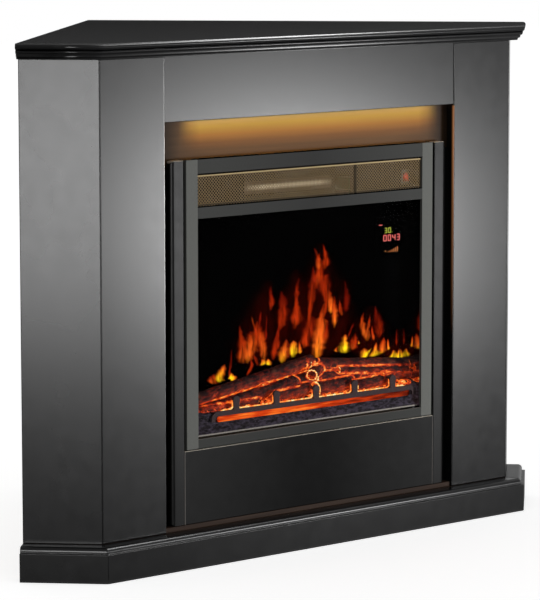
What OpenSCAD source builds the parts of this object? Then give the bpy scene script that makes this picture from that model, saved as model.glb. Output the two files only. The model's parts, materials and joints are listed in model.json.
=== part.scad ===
// Corner fireplace: a lacquered corner mantel with a drop-in electric fire.
// Millimetres. +X runs to the right along the front, +Y towards the wall corner, +Z up.
// The origin is on the floor, under the middle of the outline seen from above.

/* [Mantel] */
// Height of the whole fireplace above the floor
total_h = 950; // [900:5:1010]
// Width of each return side, square to its wall
return_w = 143; // [130:1:180]
// Width of each pilaster
pilaster_w = 144; // [130:1:150]
// Thickness of the pilasters
pilaster_t = 22; // [20:0.5:25]
// Thickness of the other boards
board_t = 16; // [15:0.5:18]
// How far the header's face lies behind the pilasters
header_set = 2; // [1:0.5:4]
// How far the boards behind the surround run past the pilasters' inner edges
back_lap = 50; // [30:1:80]
// Height of the rear rails
rail_h = 80; // [60:1:110]
// Side of the square post in the wall corner
post_w = 45; // [35:1:60]
// Radius of the wall screw holes in the upper rear rails
wall_hole_r = 2.75; // [2:0.25:4]

/* [Top board] */
// How far the top stands out past the body
top_over = 30; // [26:0.5:35]
// Radius of the round nose of the top
nose_r = 5.5; // [5:0.25:7]
// Radius of the bead under the nose
bead_r = 3.5; // [2.5:0.25:4.5]
// How far the bead lies behind the nose
bead_back = 4; // [3:0.5:6]
// Height of the flat fillet under the bead
fillet_h = 5; // [3:0.5:7]
// How far the fillet lies behind the nose
fillet_back = 9; // [8:0.5:12]
// Radius of the cove under the fillet
cove_r = 5; // [3:0.5:7]

/* [Plinth] */
// How far the plinth stands out past the body
plinth_out = 37; // [32:1:45]
// Height of the plinth
plinth_h = 63; // [58:1:75]
// Height of the plinth's outer face
plinth_face_h = 52; // [45:1:53]
// Width of the small step above the outer face
plinth_step = 6; // [4:0.5:8]
// Radius of the round above the step
plinth_round_r = 8; // [5:0.5:9]
// Width of the battens under the base board
batten_w = 30; // [20:1:40]
// How far the battens stop short of the corners
batten_end = 60; // [50:1:90]

/* [Surround] */
// How far the strips and the lower panel lie behind the pilasters
panel_set = 5; // [3:0.5:8]
// Width of the shadow groove beside each pilaster
groove_w = 17; // [10:0.5:20]
// Width of each upright strip beside the fire
strip_w = 28.5; // [20:0.5:30]
// Gap between the strips and the fire's frame
fire_gap = 5.5; // [2:0.5:10]
// Height of the brown strip at the foot of the lower panel
foot_h = 9; // [6:0.5:14]
// Gap between the lower panel and the fire's frame
panel_gap = 2; // [1:0.5:5]
// Height of the lit niche between the fire and the header
niche_h = 70; // [50:1:85]

/* [Niche light] */
// Depth of the light's channel
light_d = 10; // [8:0.5:12]
// Height of the light's channel
light_h = 12; // [9:0.5:16]
// Wall of the light's channel
light_wall = 1; // [0.8:0.1:1.5]
// Thickness of the diffuser
diffuser_t = 1.5; // [1:0.1:2]
// Distance between two lamps on the strip
lamp_pitch = 25; // [15:1:50]

/* [Fire frame] */
// Width of the fire's frame
insert_w = 598; // [580:1:604]
// Height of the fire's frame
insert_h = 525; // [500:1:540]
// Height of the frame's lower edge above the floor
insert_z = 209; // [195:1:225]
// How far the frame's face lies behind the pilasters
frame_set = 4.5; // [3:0.5:7]
// Thickness of the folded frame sheet
frame_t = 1.5; // [1:0.1:2]
// Depth of the lips folded inwards along the openings
lip_d = 6; // [5:0.5:8]
// Width of each upright of the frame
stile_w = 26.5; // [20:0.5:32]
// Height of the top rail
top_rail_h = 26; // [20:0.5:32]
// Height of the grille opening
grille_h = 60.5; // [56:0.5:66]
// Height of the rail between grille and glass
middle_rail_h = 20.5; // [18:0.5:26]
// Height of the bottom rail
bottom_rail_h = 16.5; // [15:0.5:24]
// How far the frame covers the edges of the cut-out behind it
frame_lap = 14; // [10:0.5:20]

/* [Grille and door] */
// Place of the joint between grille and door, right of the middle
door_split = 107; // [90:1:120]
// Gap round the grille and the door
grille_gap = 1; // [0.8:0.1:1.4]
// Gap under the grille and the door
grille_foot = 2.5; // [2.5:0.1:3.5]
// How far the grille and door lie behind the frame's face
grille_set = 3.5; // [2.5:0.1:4]
// Thickness of the perforated sheet
grille_t = 1.5; // [1:0.1:1.5]
// Depth of the folded edges of the grille and the door
grille_fold = 6; // [4:0.5:6]
// Radius of the door's hinge pins
pin_r = 1.5; // [1.2:0.1:1.6]
// Running clearance of hinge pins and shafts, on the radius
run_clear = 0.05; // [0.03:0.01:0.08]
// Radius of the hinge lugs on the door
lug_r = 3.2; // [3:0.1:3.4]
// Width of each hinge lug
lug_w = 8; // [6:0.5:10]

/* [Glass and casing] */
// Thickness of the front glass
glass_t = 4; // [3:0.5:5]
// How far the glass runs up and down behind the rails
glass_lap = 5; // [3:0.5:5]
// Gap between the glass and the casing's sides
glass_gap = 2.3; // [1:0.1:4]
// Sheet thickness of the casing
sheet_t = 1.2; // [0.8:0.1:1.5]
// Gap between the casing and the cut-out
casing_gap = 4; // [3:0.5:6]
// Depth of the casing's rear face behind the pilasters
casing_depth = 205; // [195:1:230]
// Depth of the flame screen behind the pilasters
screen_y = 74; // [72:0.5:80]
// Thickness of the flame screen
screen_t = 3; // [2:0.5:4]
// Length of each vent slot in the rear of the casing
vent_w = 34; // [24:1:38]
// Height of each vent slot
vent_h = 4; // [3:0.5:6]
// Radius of the bore for the mains lead
lead_r = 4; // [3:0.25:5]

/* [Fire bed] */
// Distance from the casing's left side to the glowing slot
slot_left = 57.8; // [50:0.1:70]
// Distance from the casing's right side to the glowing slot
slot_right = 19.8; // [19:0.1:30]
// Height of the glowing slot
slot_h = 11; // [8:0.5:12]
// Height of the slot's middle above the casing's floor
slot_rise = 25.5; // [24:0.5:28]
// Width of the grate's bar
bar_w = 9; // [7:0.5:10]
// Thickness of the grate from front to back
grate_t = 5; // [4:0.5:5]
// Number of prongs on the grate
prong_n = 5; // [3:1:6]
// Distance from the ends of the slot to the middle of the outer prongs
prong_end = 49; // [30:1:60]
// Height of the prongs above the bar
prong_h = 25; // [18:1:28]
// Width of a prong at its foot
prong_w = 13; // [10:0.5:16]
// Radius of a thick log
log_r = 14; // [11:0.5:15]
// Height of the highest log above the slot's middle
log_rise = 79; // [60:1:90]
// Gap between the outermost logs and the casing's sides
log_end = 4.8; // [4:0.1:10]

/* [Heater and motors] */
// Length of the heater duct
duct_w = 220; // [200:2:226]
// Depth of the heater duct
duct_d = 94; // [90:1:100]
// Radius of the fan wheel
fan_r = 24; // [20:0.5:26]
// Number of fan blades
fan_blades = 18; // [12:1:24]
// Radius of the fan's shaft and of the flicker rod
shaft_r = 3; // [2.5:0.1:3.5]
// Reach of the flicker rod's blades from its axis
flicker_r = 14; // [10:0.5:16]
// Number of blades along the flicker rod
flicker_n = 16; // [10:1:18]
// Height of the heating element
element_h = 14; // [10:0.5:18]

/* [Power switch] */
// Width of the rocker
rocker_w = 11; // [9:0.5:12]
// Radius of the rocker's ends about its pivot
rocker_r = 9.4; // [8:0.2:10]
// Tilt of the rocker either side of level
rocker_tilt = 11; // [8:1:12]
// Clearance round the rocker
rocker_gap = 0.4; // [0.3:0.05:0.6]

/* [Hidden] */
$fn = 48;

half_turn = 22.5;                       // half of the 45 degree turn at a front corner
corner_tan = tan(half_turn);
return_run = return_w * cos(45);        // how far a return side runs back, and out
panel_half = insert_w / 2 + fire_gap;
niche_half = panel_half + strip_w + groove_w;
front_w = 2 * (niche_half + pilaster_w);
wall_x = front_w / 2 + return_run;      // where a return side meets its wall
wall_len = wall_x * sqrt(2);            // length of a wall side
apex_y = return_run + wall_x;           // depth of the wall corner behind the front
front_y = (plinth_out - apex_y) / 2;    // the pilasters' face in the part's own frame
big = 3000;

top_t = 2 * nose_r + 2 * bead_r + fillet_h + cove_r;
body_top = total_h - top_t;
back_y = pilaster_t + board_t;          // rear face of the boards behind the surround

insert_top = insert_z + insert_h;
header_z = insert_top + niche_h;
open_half = insert_w / 2 - stile_w;
grille_z1 = insert_top - top_rail_h;
grille_z0 = grille_z1 - grille_h;
glass_z1 = grille_z0 - middle_rail_h;
glass_z0 = insert_z + bottom_rail_h;
cut_half = insert_w / 2 - frame_lap;
cut_z0 = insert_z + frame_lap;
cut_z1 = insert_top - frame_lap;

face_back = frame_set + frame_t;        // rear of the frame's face sheet
lip_y = frame_set + lip_d;              // rear of the frame's lips
glass_back = lip_y + glass_t;
behind_glass = glass_back + 0.5;        // first depth that is clear of the glass
casing_half = cut_half - casing_gap;
casing_z0 = cut_z0 + casing_gap;
casing_z1 = cut_z1 - casing_gap;
inner_half = casing_half - sheet_t;
inner_z0 = casing_z0 + sheet_t;
inner_z1 = casing_z1 - sheet_t;
inner_y1 = casing_depth - sheet_t;
glass_half = inner_half - glass_gap;
bay_z0 = glass_z1 + middle_rail_h / 2;  // underside of the heater bay's floor
bay_z1 = bay_z0 + sheet_t;

plate_y = frame_set + grille_set;       // face of the grille and the door
plate_z0 = grille_z0 + grille_foot;
plate_z1 = grille_z1 - grille_gap - 0.5;
hinge_y = lip_y + 2.5;
hinge_z = plate_z0 + 3.5;
door_x0 = door_split + grille_gap / 2;
door_x1 = open_half - grille_gap;
lug_x = [door_x0 + 2, door_x1 - 2 - lug_w];
ear_t = 2;
ear_r = 2.8;
ear_leg = 6.5;
ear_gap = 0.4;
ear_x = [lug_x[0] + lug_w + ear_gap, lug_x[1] - ear_gap - ear_t];
ear_y1 = behind_glass + 12;

slot_w = 2 * inner_half - slot_left - slot_right;
fire_x = (slot_left - slot_right) / 2;  // middle of the slot and the grate
slot_z = inner_z0 + slot_rise;
bed_y0 = behind_glass + 1;
bed_face_y = bed_y0 + 6;                // upright face that holds the slot
bed_back_y = screen_y - 2;
bar_in = slot_h / 2 + 1;                // inner half height of the grate's bow
bar_out = bar_in + bar_w;

duct_left = 30;                         // shift of the duct to the left of the middle
duct_x0 = -duct_w / 2 - duct_left;
duct_x1 = duct_x0 + duct_w;
duct_y0 = behind_glass + 21;
duct_y1 = duct_y0 + duct_d;
duct_z1 = bay_z1 + 2 * fan_r + 17;
fan_y = duct_y1 - 35;
fan_z = bay_z1 + fan_r + 8;
motor_l = 26;
screen_back = screen_y + screen_t;
flicker_y = screen_back + 48;
flicker_z = inner_z0 + flicker_r + 20;
flicker_motor_l = 20;
flicker_end = inner_half - flicker_motor_l;
bearing_x = -inner_half + 12;

switch_side = 20;
switch_rise = 30;
switch_x = open_half - switch_side;
switch_z = bay_z1 + switch_rise;
control_y = behind_glass + 17;          // face of the plate that holds the switch
pivot_y = control_y - 0.5;
rocker_cell = rocker_r + rocker_gap;
rocker_side = rocker_w / 2 + rocker_gap;
switch_wall = 1.6;
gland_x = 180;
gland_rise = 60;
gland_z = inner_z0 + gland_rise;
gland_flange = 6;
gland_nut = 5;

steel = [0.10, 0.10, 0.10];
lacquer = [0.13, 0.13, 0.14];
raw_board = [0.55, 0.43, 0.30];
frame_grey = [0.36, 0.37, 0.34];
mesh_brass = [0.55, 0.45, 0.28];
bright = [0.72, 0.72, 0.74];
glow = [0.95, 0.40, 0.08];

// ---- helpers ----

// From the pilasters' face plane into the part's own frame
module in_place() translate([0, front_y, 0]) children();

module both_sides() {
    children();
    mirror([1, 0, 0]) children();
}

// A board given by its outline in plan and its two heights
module board(outline, z0, z1)
    translate([0, 0, z0]) linear_extrude(z1 - z0) polygon(outline);

module block(x0, x1, y0, y1, z0, z1)
    translate([x0, y0, z0]) cube([x1 - x0, y1 - y0, z1 - z0]);

// A profile drawn outwards and upwards, run along the front from the middle
module run_front(len)
    mirror([0, 1, 0]) rotate([90, 0, 90]) translate([0, 0, -len / 2])
        linear_extrude(len) children();

// The same profile run along the right return side
module run_return(len)
    translate([front_w / 2, 0, 0]) rotate(45) run_front(len) children();

// Frame of the right wall side: x along the wall to the corner, y into the mantel
module at_wall() translate([wall_x, return_run, 0]) rotate(135) children();

// A round bar along X
module bar_x(x0, x1, y, z, r)
    translate([x0, y, z]) rotate([0, 90, 0]) cylinder(h = x1 - x0, r = r);

// A round bar along Y
module bar_y(x, y0, y1, z, r)
    translate([x, y0, z]) rotate([-90, 0, 0]) cylinder(h = y1 - y0, r = r);

function return_point(out) = [wall_x + out * cos(45), return_run - out * sin(45)];
function corner_point(out) = [front_w / 2 + out * corner_tan, -out];
function left(points) = [for (p = points) [-p[0], p[1]]];

plan = concat([for (p = [corner_point(0), return_point(0)]) p], [[0, apex_y]],
    left([return_point(0), corner_point(0)]));

// ---- mantel ----

module top_profile() {
    reach = top_over - nose_r;
    translate([-big, 0]) {
        translate([0, top_t - 2 * nose_r]) square([big + reach, 2 * nose_r]);
        translate([0, fillet_h + cove_r]) square([big + top_over - bead_back - bead_r, 2 * bead_r]);
        difference() {
            square([big + top_over - fillet_back, fillet_h + cove_r]);
            translate([big + top_over - fillet_back, 0]) circle(cove_r);
        }
    }
    translate([reach, top_t - nose_r]) circle(nose_r);
    translate([top_over - bead_back - bead_r, fillet_h + cove_r + bead_r]) circle(bead_r);
}

module top_board() color(lacquer) in_place()
    translate([0, 0, body_top]) intersection() {
        run_front(2 * big) top_profile();
        run_return(2 * big) top_profile();
        mirror([1, 0, 0]) run_return(2 * big) top_profile();
        board(concat([[front_w, -front_w], return_point(top_over + 1)], [[0, apex_y]],
            left([return_point(top_over + 1), [front_w, -front_w]])), -1, top_t + 1);
    }

module pilaster() in_place()
    board([[niche_half, 0], corner_point(0), [front_w / 2 - pilaster_t * corner_tan, pilaster_t],
        [niche_half, pilaster_t]], plinth_h, body_top);
module right_pilaster() color(lacquer) pilaster();
module left_pilaster() color(lacquer) mirror([1, 0, 0]) pilaster();

module side_panel() in_place()
    board([corner_point(0), return_point(0),
        return_point(0) + board_t * [-cos(45), sin(45)],
        [front_w / 2 - board_t * corner_tan, board_t]], plinth_h, body_top);
module right_side_panel() color(lacquer) side_panel();
module left_side_panel() color(lacquer) mirror([1, 0, 0]) side_panel();

module header_panel() color(lacquer) in_place() difference() {
    block(-niche_half, niche_half, header_set, pilaster_t, header_z, body_top);
    block(-big, big, pilaster_t - light_d, big, header_z - 1, header_z + light_h);
}

module niche_panel() color(lacquer) in_place()
    block(-niche_half - back_lap, niche_half + back_lap, pilaster_t, back_y, cut_z1, body_top);

module side_back_boards() color(lacquer) in_place() both_sides()
    block(cut_half, niche_half + back_lap, pilaster_t, back_y, cut_z0, cut_z1);

module lower_back_board() color(lacquer) in_place()
    block(-niche_half - back_lap, niche_half + back_lap, pilaster_t, back_y, plinth_h, cut_z0);

module side_strips() color(lacquer) in_place() both_sides()
    block(panel_half, panel_half + strip_w, panel_set, pilaster_t, plinth_h + foot_h, insert_top);

module lower_panel() color(lacquer) in_place()
    block(-panel_half, panel_half, panel_set, pilaster_t, plinth_h + foot_h, insert_z - panel_gap);

module foot_strip() color([0.22, 0.15, 0.11]) in_place()
    block(-niche_half, niche_half, panel_set, pilaster_t, plinth_h, plinth_h + foot_h);

module plinth_profile() {
    round_x = plinth_out - plinth_step - plinth_round_r;
    square([plinth_out, plinth_face_h]);
    square([plinth_out - plinth_step, plinth_h - plinth_round_r]);
    square([round_x, plinth_h]);
    translate([round_x, plinth_h - plinth_round_r]) circle(plinth_round_r);
}

module plinth_front() color(lacquer) in_place() intersection() {
    run_front(2 * big) plinth_profile();
    board([corner_point(0), corner_point(plinth_out + 1), left([corner_point(plinth_out + 1)])[0],
        left([corner_point(0)])[0]], -1, plinth_h + 1);
}

module plinth_return() in_place() intersection() {
    run_return(2 * big) plinth_profile();
    board([corner_point(0), corner_point(plinth_out + 1), return_point(plinth_out + 1),
        return_point(0)], -1, plinth_h + 1);
}
module plinth_right() color(lacquer) plinth_return();
module plinth_left() color(lacquer) mirror([1, 0, 0]) plinth_return();

module base_board() color(raw_board) in_place() board(plan, plinth_h - board_t, plinth_h);

module base_battens() color(raw_board) in_place() {
    batten_h = plinth_h - board_t;
    block(-front_w / 2 + batten_end, front_w / 2 - batten_end, 0, batten_w, 0, batten_h);
    both_sides() translate([front_w / 2, 0, 0]) rotate(45)
        block(batten_end, return_w, 0, batten_w, 0, batten_h);
    at_wall() block(wall_len - post_w, wall_len, 0, post_w, 0, batten_h);
}

module rear_rails() color(raw_board) in_place() both_sides() at_wall() {
    difference() {
        block(board_t, wall_len - post_w, 0, board_t, body_top - rail_h, body_top);
        bar_y(wall_len / 2, -1, board_t + 1, body_top - rail_h / 2, wall_hole_r);
    }
    block(board_t, wall_len - post_w, 0, board_t, plinth_h, plinth_h + rail_h);
}

module corner_post() color(raw_board) in_place() at_wall()
    block(wall_len - post_w, wall_len, 0, post_w, plinth_h, body_top);

module insert_shelf() color(raw_board) in_place()
    block(-casing_half, casing_half, back_y, casing_depth, casing_z0 - board_t, casing_z0);

module shelf_supports() color(raw_board) in_place() both_sides()
    block(casing_half - board_t, casing_half, back_y, casing_depth, plinth_h, casing_z0 - board_t);

// ---- niche light ----

light_half = niche_half - 0.5;
light_y0 = pilaster_t - light_d;

module light_profile() color(bright) in_place() difference() {
    block(-light_half, light_half, light_y0, pilaster_t, header_z, header_z + light_h);
    block(-big, big, light_y0 + light_wall, pilaster_t - light_wall, header_z - 1,
        header_z + light_h - light_wall);
}

module light_strip() color([0.9, 0.85, 0.7]) in_place() {
    roof = header_z + light_h - light_wall;
    mid = (light_y0 + pilaster_t) / 2;
    count = floor((2 * light_half - lamp_pitch) / lamp_pitch);
    block(-light_half, light_half, light_y0 + light_wall, pilaster_t - light_wall, roof - 1, roof);
    for (i = [0 : count])
        translate([(i - count / 2) * lamp_pitch, mid, roof - 1.8]) cube([5, 5, 1.8], center = true);
}

module light_diffuser() color([0.98, 0.78, 0.40]) in_place()
    block(-light_half, light_half, light_y0 + light_wall, pilaster_t - light_wall,
        header_z, header_z + diffuser_t);

// ---- braces ----

brace_l = 36;
brace_w = 20;
brace_t = 1.5;
brace_hole_r = 2;
brace_end = 50;
brace_x = [for (i = [-3 : 2 : 3]) i / 3 * (niche_half - brace_end)]; // under the top board
brace_z = [cut_z0 + 60, cut_z1 - 60];   // braces that hold the casing

// An angle: one leg up the rear of a board, one leg back under the board above it
module brace() difference() {
    union() {
        block(-brace_w / 2, brace_w / 2, 0, brace_t, -brace_l, 0);
        block(-brace_w / 2, brace_w / 2, 0, brace_l, -brace_t, 0);
    }
    bar_y(0, -1, brace_t + 1, -brace_l * 0.6, brace_hole_r);
    translate([0, brace_l * 0.6, -brace_t - 1]) cylinder(h = brace_t + 2, r = brace_hole_r);
}

module brace_screw() {
    rotate([-90, 0, 0]) {
        translate([0, 0, brace_t]) cylinder(h = 1.6, r = 2 * brace_hole_r);
        cylinder(h = brace_t, r = brace_hole_r - 0.1);
    }
}

module brace_screw_pair() {
    translate([0, 0, -brace_l * 0.6]) brace_screw();
    translate([0, brace_l * 0.6, 0]) rotate([-90, 0, 0]) brace_screw();
}

// Everything that carries a brace: under the top board, and beside the casing
module brace_places() {
    for (x = brace_x) translate([x, back_y, body_top]) children();
    both_sides() for (z = brace_z)
        translate([casing_half, back_y, z]) rotate([0, -90, 0]) children();
}

module corner_braces() color(bright) in_place() brace_places() brace();
module brace_screws() color(bright) in_place() brace_places() brace_screw_pair();

// ---- fire frame ----

// A folded upright: face, deep outer lip back to the board, shallow inner lip
module stile() in_place() {
    outer = insert_w / 2;
    block(open_half, outer, frame_set, face_back, insert_z, insert_top);
    block(outer - frame_t, outer, frame_set, pilaster_t, insert_z, insert_top);
    block(open_half, open_half + frame_t, frame_set, lip_y, insert_z, insert_top);
}
module right_stile() color(frame_grey) stile();
module left_stile() color(frame_grey) mirror([1, 0, 0]) stile();

// A folded rail, with the depth of its lower and upper lip
module rail(z0, z1, low_y, high_y) in_place() {
    block(-open_half, open_half, frame_set, face_back, z0, z1);
    block(-open_half, open_half, frame_set, low_y, z0, z0 + frame_t);
    block(-open_half, open_half, frame_set, high_y, z1 - frame_t, z1);
}
module top_rail() color(frame_grey) rail(grille_z1, insert_top, lip_y, pilaster_t);
module middle_rail() color(frame_grey) rail(glass_z1, grille_z0, lip_y, lip_y);
module bottom_rail() color(frame_grey) rail(insert_z, glass_z0, pilaster_t, lip_y);

// A perforated sheet with its four edges folded back
module folded_sheet(x0, x1) difference() {
    block(x0, x1, plate_y, plate_y + grille_fold, plate_z0, plate_z1);
    block(x0 + grille_t, x1 - grille_t, plate_y + grille_t, big, plate_z0 + grille_t,
        plate_z1 - grille_t);
}

module heater_grille() color(mesh_brass) in_place() {
    folded_sheet(-open_half, door_split - grille_gap / 2);
    // tabs that seat the grille on the floor of the heater bay
    for (x = [-open_half + 30, 0, door_split - 40])
        block(x, x + 14, plate_y + grille_fold - grille_t, behind_glass + 8, bay_z1, bay_z1 + 1.2);
    for (x = [-open_half + 30, 0, door_split - 40])
        block(x, x + 14, plate_y + grille_fold - grille_t, plate_y + grille_fold,
            bay_z1, plate_z0 + grille_t);
}

module control_door() color(mesh_brass) in_place() difference() {
    union() {
        folded_sheet(door_x0, door_x1);
        for (x = lug_x) {
            bar_x(x, x + lug_w, hinge_y, hinge_z, lug_r);
            block(x, x + lug_w, plate_y + grille_t / 2, hinge_y, plate_z0, hinge_z + lug_r - 1);
        }
    }
    for (x = lug_x) bar_x(x - 1, x + lug_w + 1, hinge_y, hinge_z, pin_r + run_clear);
    // notches in the lower fold, so that it swings past the ears
    for (x = ear_x)
        block(x - 0.7 * ear_gap, x + ear_t + 0.7 * ear_gap, plate_y + grille_t, big,
            plate_z0 - 1, hinge_z);
}

module door_pins() color(bright) in_place() {
    bar_x(lug_x[0] + 0.5, ear_x[0] + ear_t, hinge_y, hinge_z, pin_r);
    bar_x(ear_x[1], lug_x[1] + lug_w - 0.5, hinge_y, hinge_z, pin_r);
}

// An ear: a leg on the bay's floor and an arm forward to the pin, clear of the swinging door
module ear(x) difference() {
    union() {
        bar_x(x, x + ear_t, hinge_y, hinge_z, ear_r);
        block(x, x + ear_t, hinge_y, ear_y1, hinge_z - ear_r, hinge_z + ear_r);
        block(x, x + ear_t, ear_y1 - ear_leg, ear_y1, bay_z1, hinge_z + ear_r);
    }
    bar_x(x - 1, x + ear_t + 1, hinge_y, hinge_z, pin_r);
}

magnet_x = 75;                          // from the joint beside the door
magnet_w = 16;
magnet_h = 12;
module door_fittings() color(steel) in_place() {
    for (x = ear_x) ear(x);
    // magnet that holds the door shut, hung under the casing's top
    block(door_split + magnet_x, door_split + magnet_x + magnet_w, plate_y + grille_fold + 0.3,
        ear_y1, plate_z1 - magnet_h, inner_z1);
}

// ---- glass and casing ----

module glass_pane() color([0.05, 0.05, 0.05, 0.5]) in_place()
    block(-glass_half, glass_half, lip_y, glass_back, glass_z0 - glass_lap, glass_z1 + glass_lap);

pcb_t = 1.6;
display_w = 84;
display_h = 76;
display_side = 67.5;                    // from the opening's right edge to the display's middle
display_down = 67;                      // from the opening's upper edge to the display's middle
display_x = open_half - display_side;
display_z = glass_z1 - display_down;
hanger_w = 24;
hanger_t = 1.5;
module display_board() color([0.05, 0.05, 0.06]) in_place() {
    y0 = behind_glass + 0.3;
    y1 = y0 + pcb_t;
    block(display_x - display_w / 2, display_x + display_w / 2, y0, y1,
        display_z - display_h / 2, display_z + display_h / 2);
    // hanger from the heater bay's floor
    block(display_x - hanger_w / 2, display_x + hanger_w / 2, y1, y1 + hanger_t,
        display_z - display_h / 4, bay_z0);
}

module casing_top() color(steel) in_place()
    block(-inner_half, inner_half, lip_y, casing_depth, inner_z1, casing_z1);

module casing_base() color(steel) in_place()
    block(-inner_half, inner_half, behind_glass, casing_depth, casing_z0, inner_z0);

module casing_sides() color(steel) in_place() both_sides()
    block(inner_half, casing_half, face_back, casing_depth, casing_z0, casing_z1);

screw_x = [-240, -80, 80, 240];
screw_r = 1.9;
vent_rows = 3;
vent_cols = 10;

module screw_places()
    for (x = screw_x, z = [inner_z0 + 10, inner_z1 - 10]) translate([x, 0, z]) children();

module casing_back() color(steel) in_place() difference() {
    block(-inner_half, inner_half, inner_y1, casing_depth, inner_z0, inner_z1);
    for (i = [0 : vent_cols - 1], j = [0 : vent_rows - 1])
        translate([(i - (vent_cols - 1) / 2) * (vent_w + 12), inner_y1, bay_z1 + 18 + 14 * j])
            cube([vent_w, big, vent_h], center = true);
    bar_y(gland_x, 0, big, gland_z, 2 * lead_r);
    screw_places() bar_y(0, 0, big, 0, screw_r);
}

module casing_screws() color(bright) in_place() screw_places() {
    bar_y(0, inner_y1 - 4, casing_depth, 0, screw_r - 0.05);
    bar_y(0, casing_depth, casing_depth + 2.4, 0, 2 * screw_r);
}

module cable_gland() color([0.04, 0.04, 0.04]) in_place() difference() {
    union() {
        bar_y(gland_x, casing_depth, casing_depth + gland_flange, gland_z, 3 * lead_r);
        bar_y(gland_x, inner_y1 - gland_nut, casing_depth + 3 * gland_flange, gland_z,
            2 * lead_r - 0.1);
        bar_y(gland_x, inner_y1 - gland_nut, inner_y1, gland_z, 3 * lead_r);
    }
    bar_y(gland_x, 0, big, gland_z, lead_r);
}

module bay_floor() color(steel) in_place()
    block(-inner_half, inner_half, behind_glass, inner_y1, bay_z0, bay_z1);

module flame_screen() color([0.12, 0.10, 0.09, 0.5]) in_place()
    block(-inner_half, inner_half, screen_y, screen_y + screen_t, inner_z0, bay_z0);

// ---- fire bed ----

// The bed's section, drawn back from the glass and up from the casing's floor
module bed_section() polygon([[bed_y0, inner_z0], [bed_y0, inner_z0 + 8],
    [bed_face_y, slot_z - slot_h / 2 - 1], [bed_face_y, slot_z + bar_out - 3],
    [bed_face_y + 8, slot_z + bar_out], [bed_back_y, slot_z + bar_out + 14],
    [bed_back_y, inner_z0]]);

module bed_solid() rotate([90, 0, 90]) translate([0, 0, -inner_half + 1])
    linear_extrude(2 * inner_half - 2) bed_section();

// A long round-ended shape about the slot's middle
module slot_shape(half_h) {
    straight = slot_w / 2 - slot_h / 2;
    square([2 * straight, 2 * half_h], center = true);
    for (s = [-1, 1]) translate([s * straight, 0]) circle(half_h);
}

// A shape drawn to the right and up about the slot's middle, given depth
module from_face(y0, y1) translate([fire_x, y1, slot_z]) rotate([90, 0, 0])
    linear_extrude(y1 - y0) children();

module ember_bed() color([0.16, 0.14, 0.14]) in_place() difference() {
    bed_solid();
    from_face(bed_y0, bed_face_y + 7) slot_shape(slot_h / 2);
}

module prong() {
    square([prong_w, 2 * (prong_h - prong_w / 2)], center = true);
    translate([0, prong_h - prong_w / 2]) circle(prong_w * 0.6);
}

module grate() color([0.20, 0.17, 0.15]) in_place() from_face(bed_face_y - grate_t, bed_face_y) {
    pitch = (slot_w - 2 * prong_end) / (prong_n - 1);
    difference() {
        slot_shape(bar_out);
        slot_shape(bar_in);
        translate([-big / 2, -big - 3]) square([big, big]);
    }
    for (i = [0 : prong_n - 1])
        translate([(i - (prong_n - 1) / 2) * pitch, bar_out - 2]) difference() {
            prong();
            translate([-big / 2, -big]) square([big, big]);
        }
}

// A log from one point to another, tapering from r0 to r1
module log(from, to, r0, r1) {
    d = to - from;
    translate(from) rotate([0, acos(d[2] / norm(d)), atan2(d[1], d[0])])
        cylinder(h = norm(d), r1 = r0, r2 = r1);
}

// A place among the logs, as shares of the casing's width, the bed's depth and the highest log
function among(u, v, w) = [(2 * u - 1) * (inner_half - log_end),
    bed_face_y + v * (bed_back_y - bed_face_y), slot_z + w * log_rise];

module log_set() color([0.34, 0.15, 0.08]) in_place() difference() {
    union() {
        // rear left and rear right
        log(among(0, 0.66, 0.34), among(0.574, 0.68, 1), log_r, log_r);
        log(among(0.549, 0.66, 0.91), among(1, 0.68, 0.56), 1.07 * log_r, log_r);
        // front left
        log(among(0, 0.38, 0.12), among(0.473, 0.4, 0.58), 0.86 * log_r, log_r);
        // end-on, over the middle
        log(among(0.531, 0.12, 0.73), among(0.622, 0.76, 0.86), 0.86 * log_r, 0.86 * log_r);
        // short logs between the prongs
        log(among(0.374, 0.32, 0.34), among(0.534, 0.32, 0.4), log_r, 0.93 * log_r);
        log(among(0.567, 0.38, 0.35), among(0.716, 0.38, 0.4), 1.14 * log_r, 1.07 * log_r);
        log(among(0.738, 0.32, 0.3), among(0.906, 0.36, 0.38), 0.93 * log_r, 0.86 * log_r);
        // right end and upper right
        log(among(0.869, 0.48, 0.48), among(1, 0.56, 0.4), 0.93 * log_r, 0.86 * log_r);
        log(among(0.673, 0.48, 0.73), among(0.993, 0.44, 0.53), 0.71 * log_r, 0.64 * log_r);
    }
    bed_solid();
}

// ---- flicker drive and ember lamps ----

module flicker_rod() color(bright) in_place() {
    rod_l = flicker_end + 10 - bearing_x;
    blade_l = (flicker_end - bearing_x - 40) / flicker_n;
    bar_x(bearing_x - 4, bearing_x - 4 + rod_l, flicker_y, flicker_z, shaft_r);
    for (i = [0 : flicker_n - 1])
        translate([bearing_x + 20 + (i + 0.5) * blade_l, flicker_y, flicker_z]) rotate([i * 50, 0, 0])
            cube([blade_l - 4, 2 * flicker_r, 1], center = true);
}

module flicker_bearing() color(steel) in_place() difference() {
    union() {
        block(bearing_x, bearing_x + 2, flicker_y - 12, flicker_y + 12, inner_z0, flicker_z + 10);
        block(-inner_half, bearing_x + 2, flicker_y - 12, flicker_y + 12, inner_z0, inner_z0 + 2);
    }
    bar_x(bearing_x - 1, bearing_x + 3, flicker_y, flicker_z, shaft_r + run_clear);
}

module flicker_motor() color([0.75, 0.72, 0.66]) in_place() difference() {
    bar_x(flicker_end, inner_half, flicker_y, flicker_z, 24);
    bar_x(flicker_end - 1, flicker_end + 13, flicker_y, flicker_z, shaft_r + run_clear);
}

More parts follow.
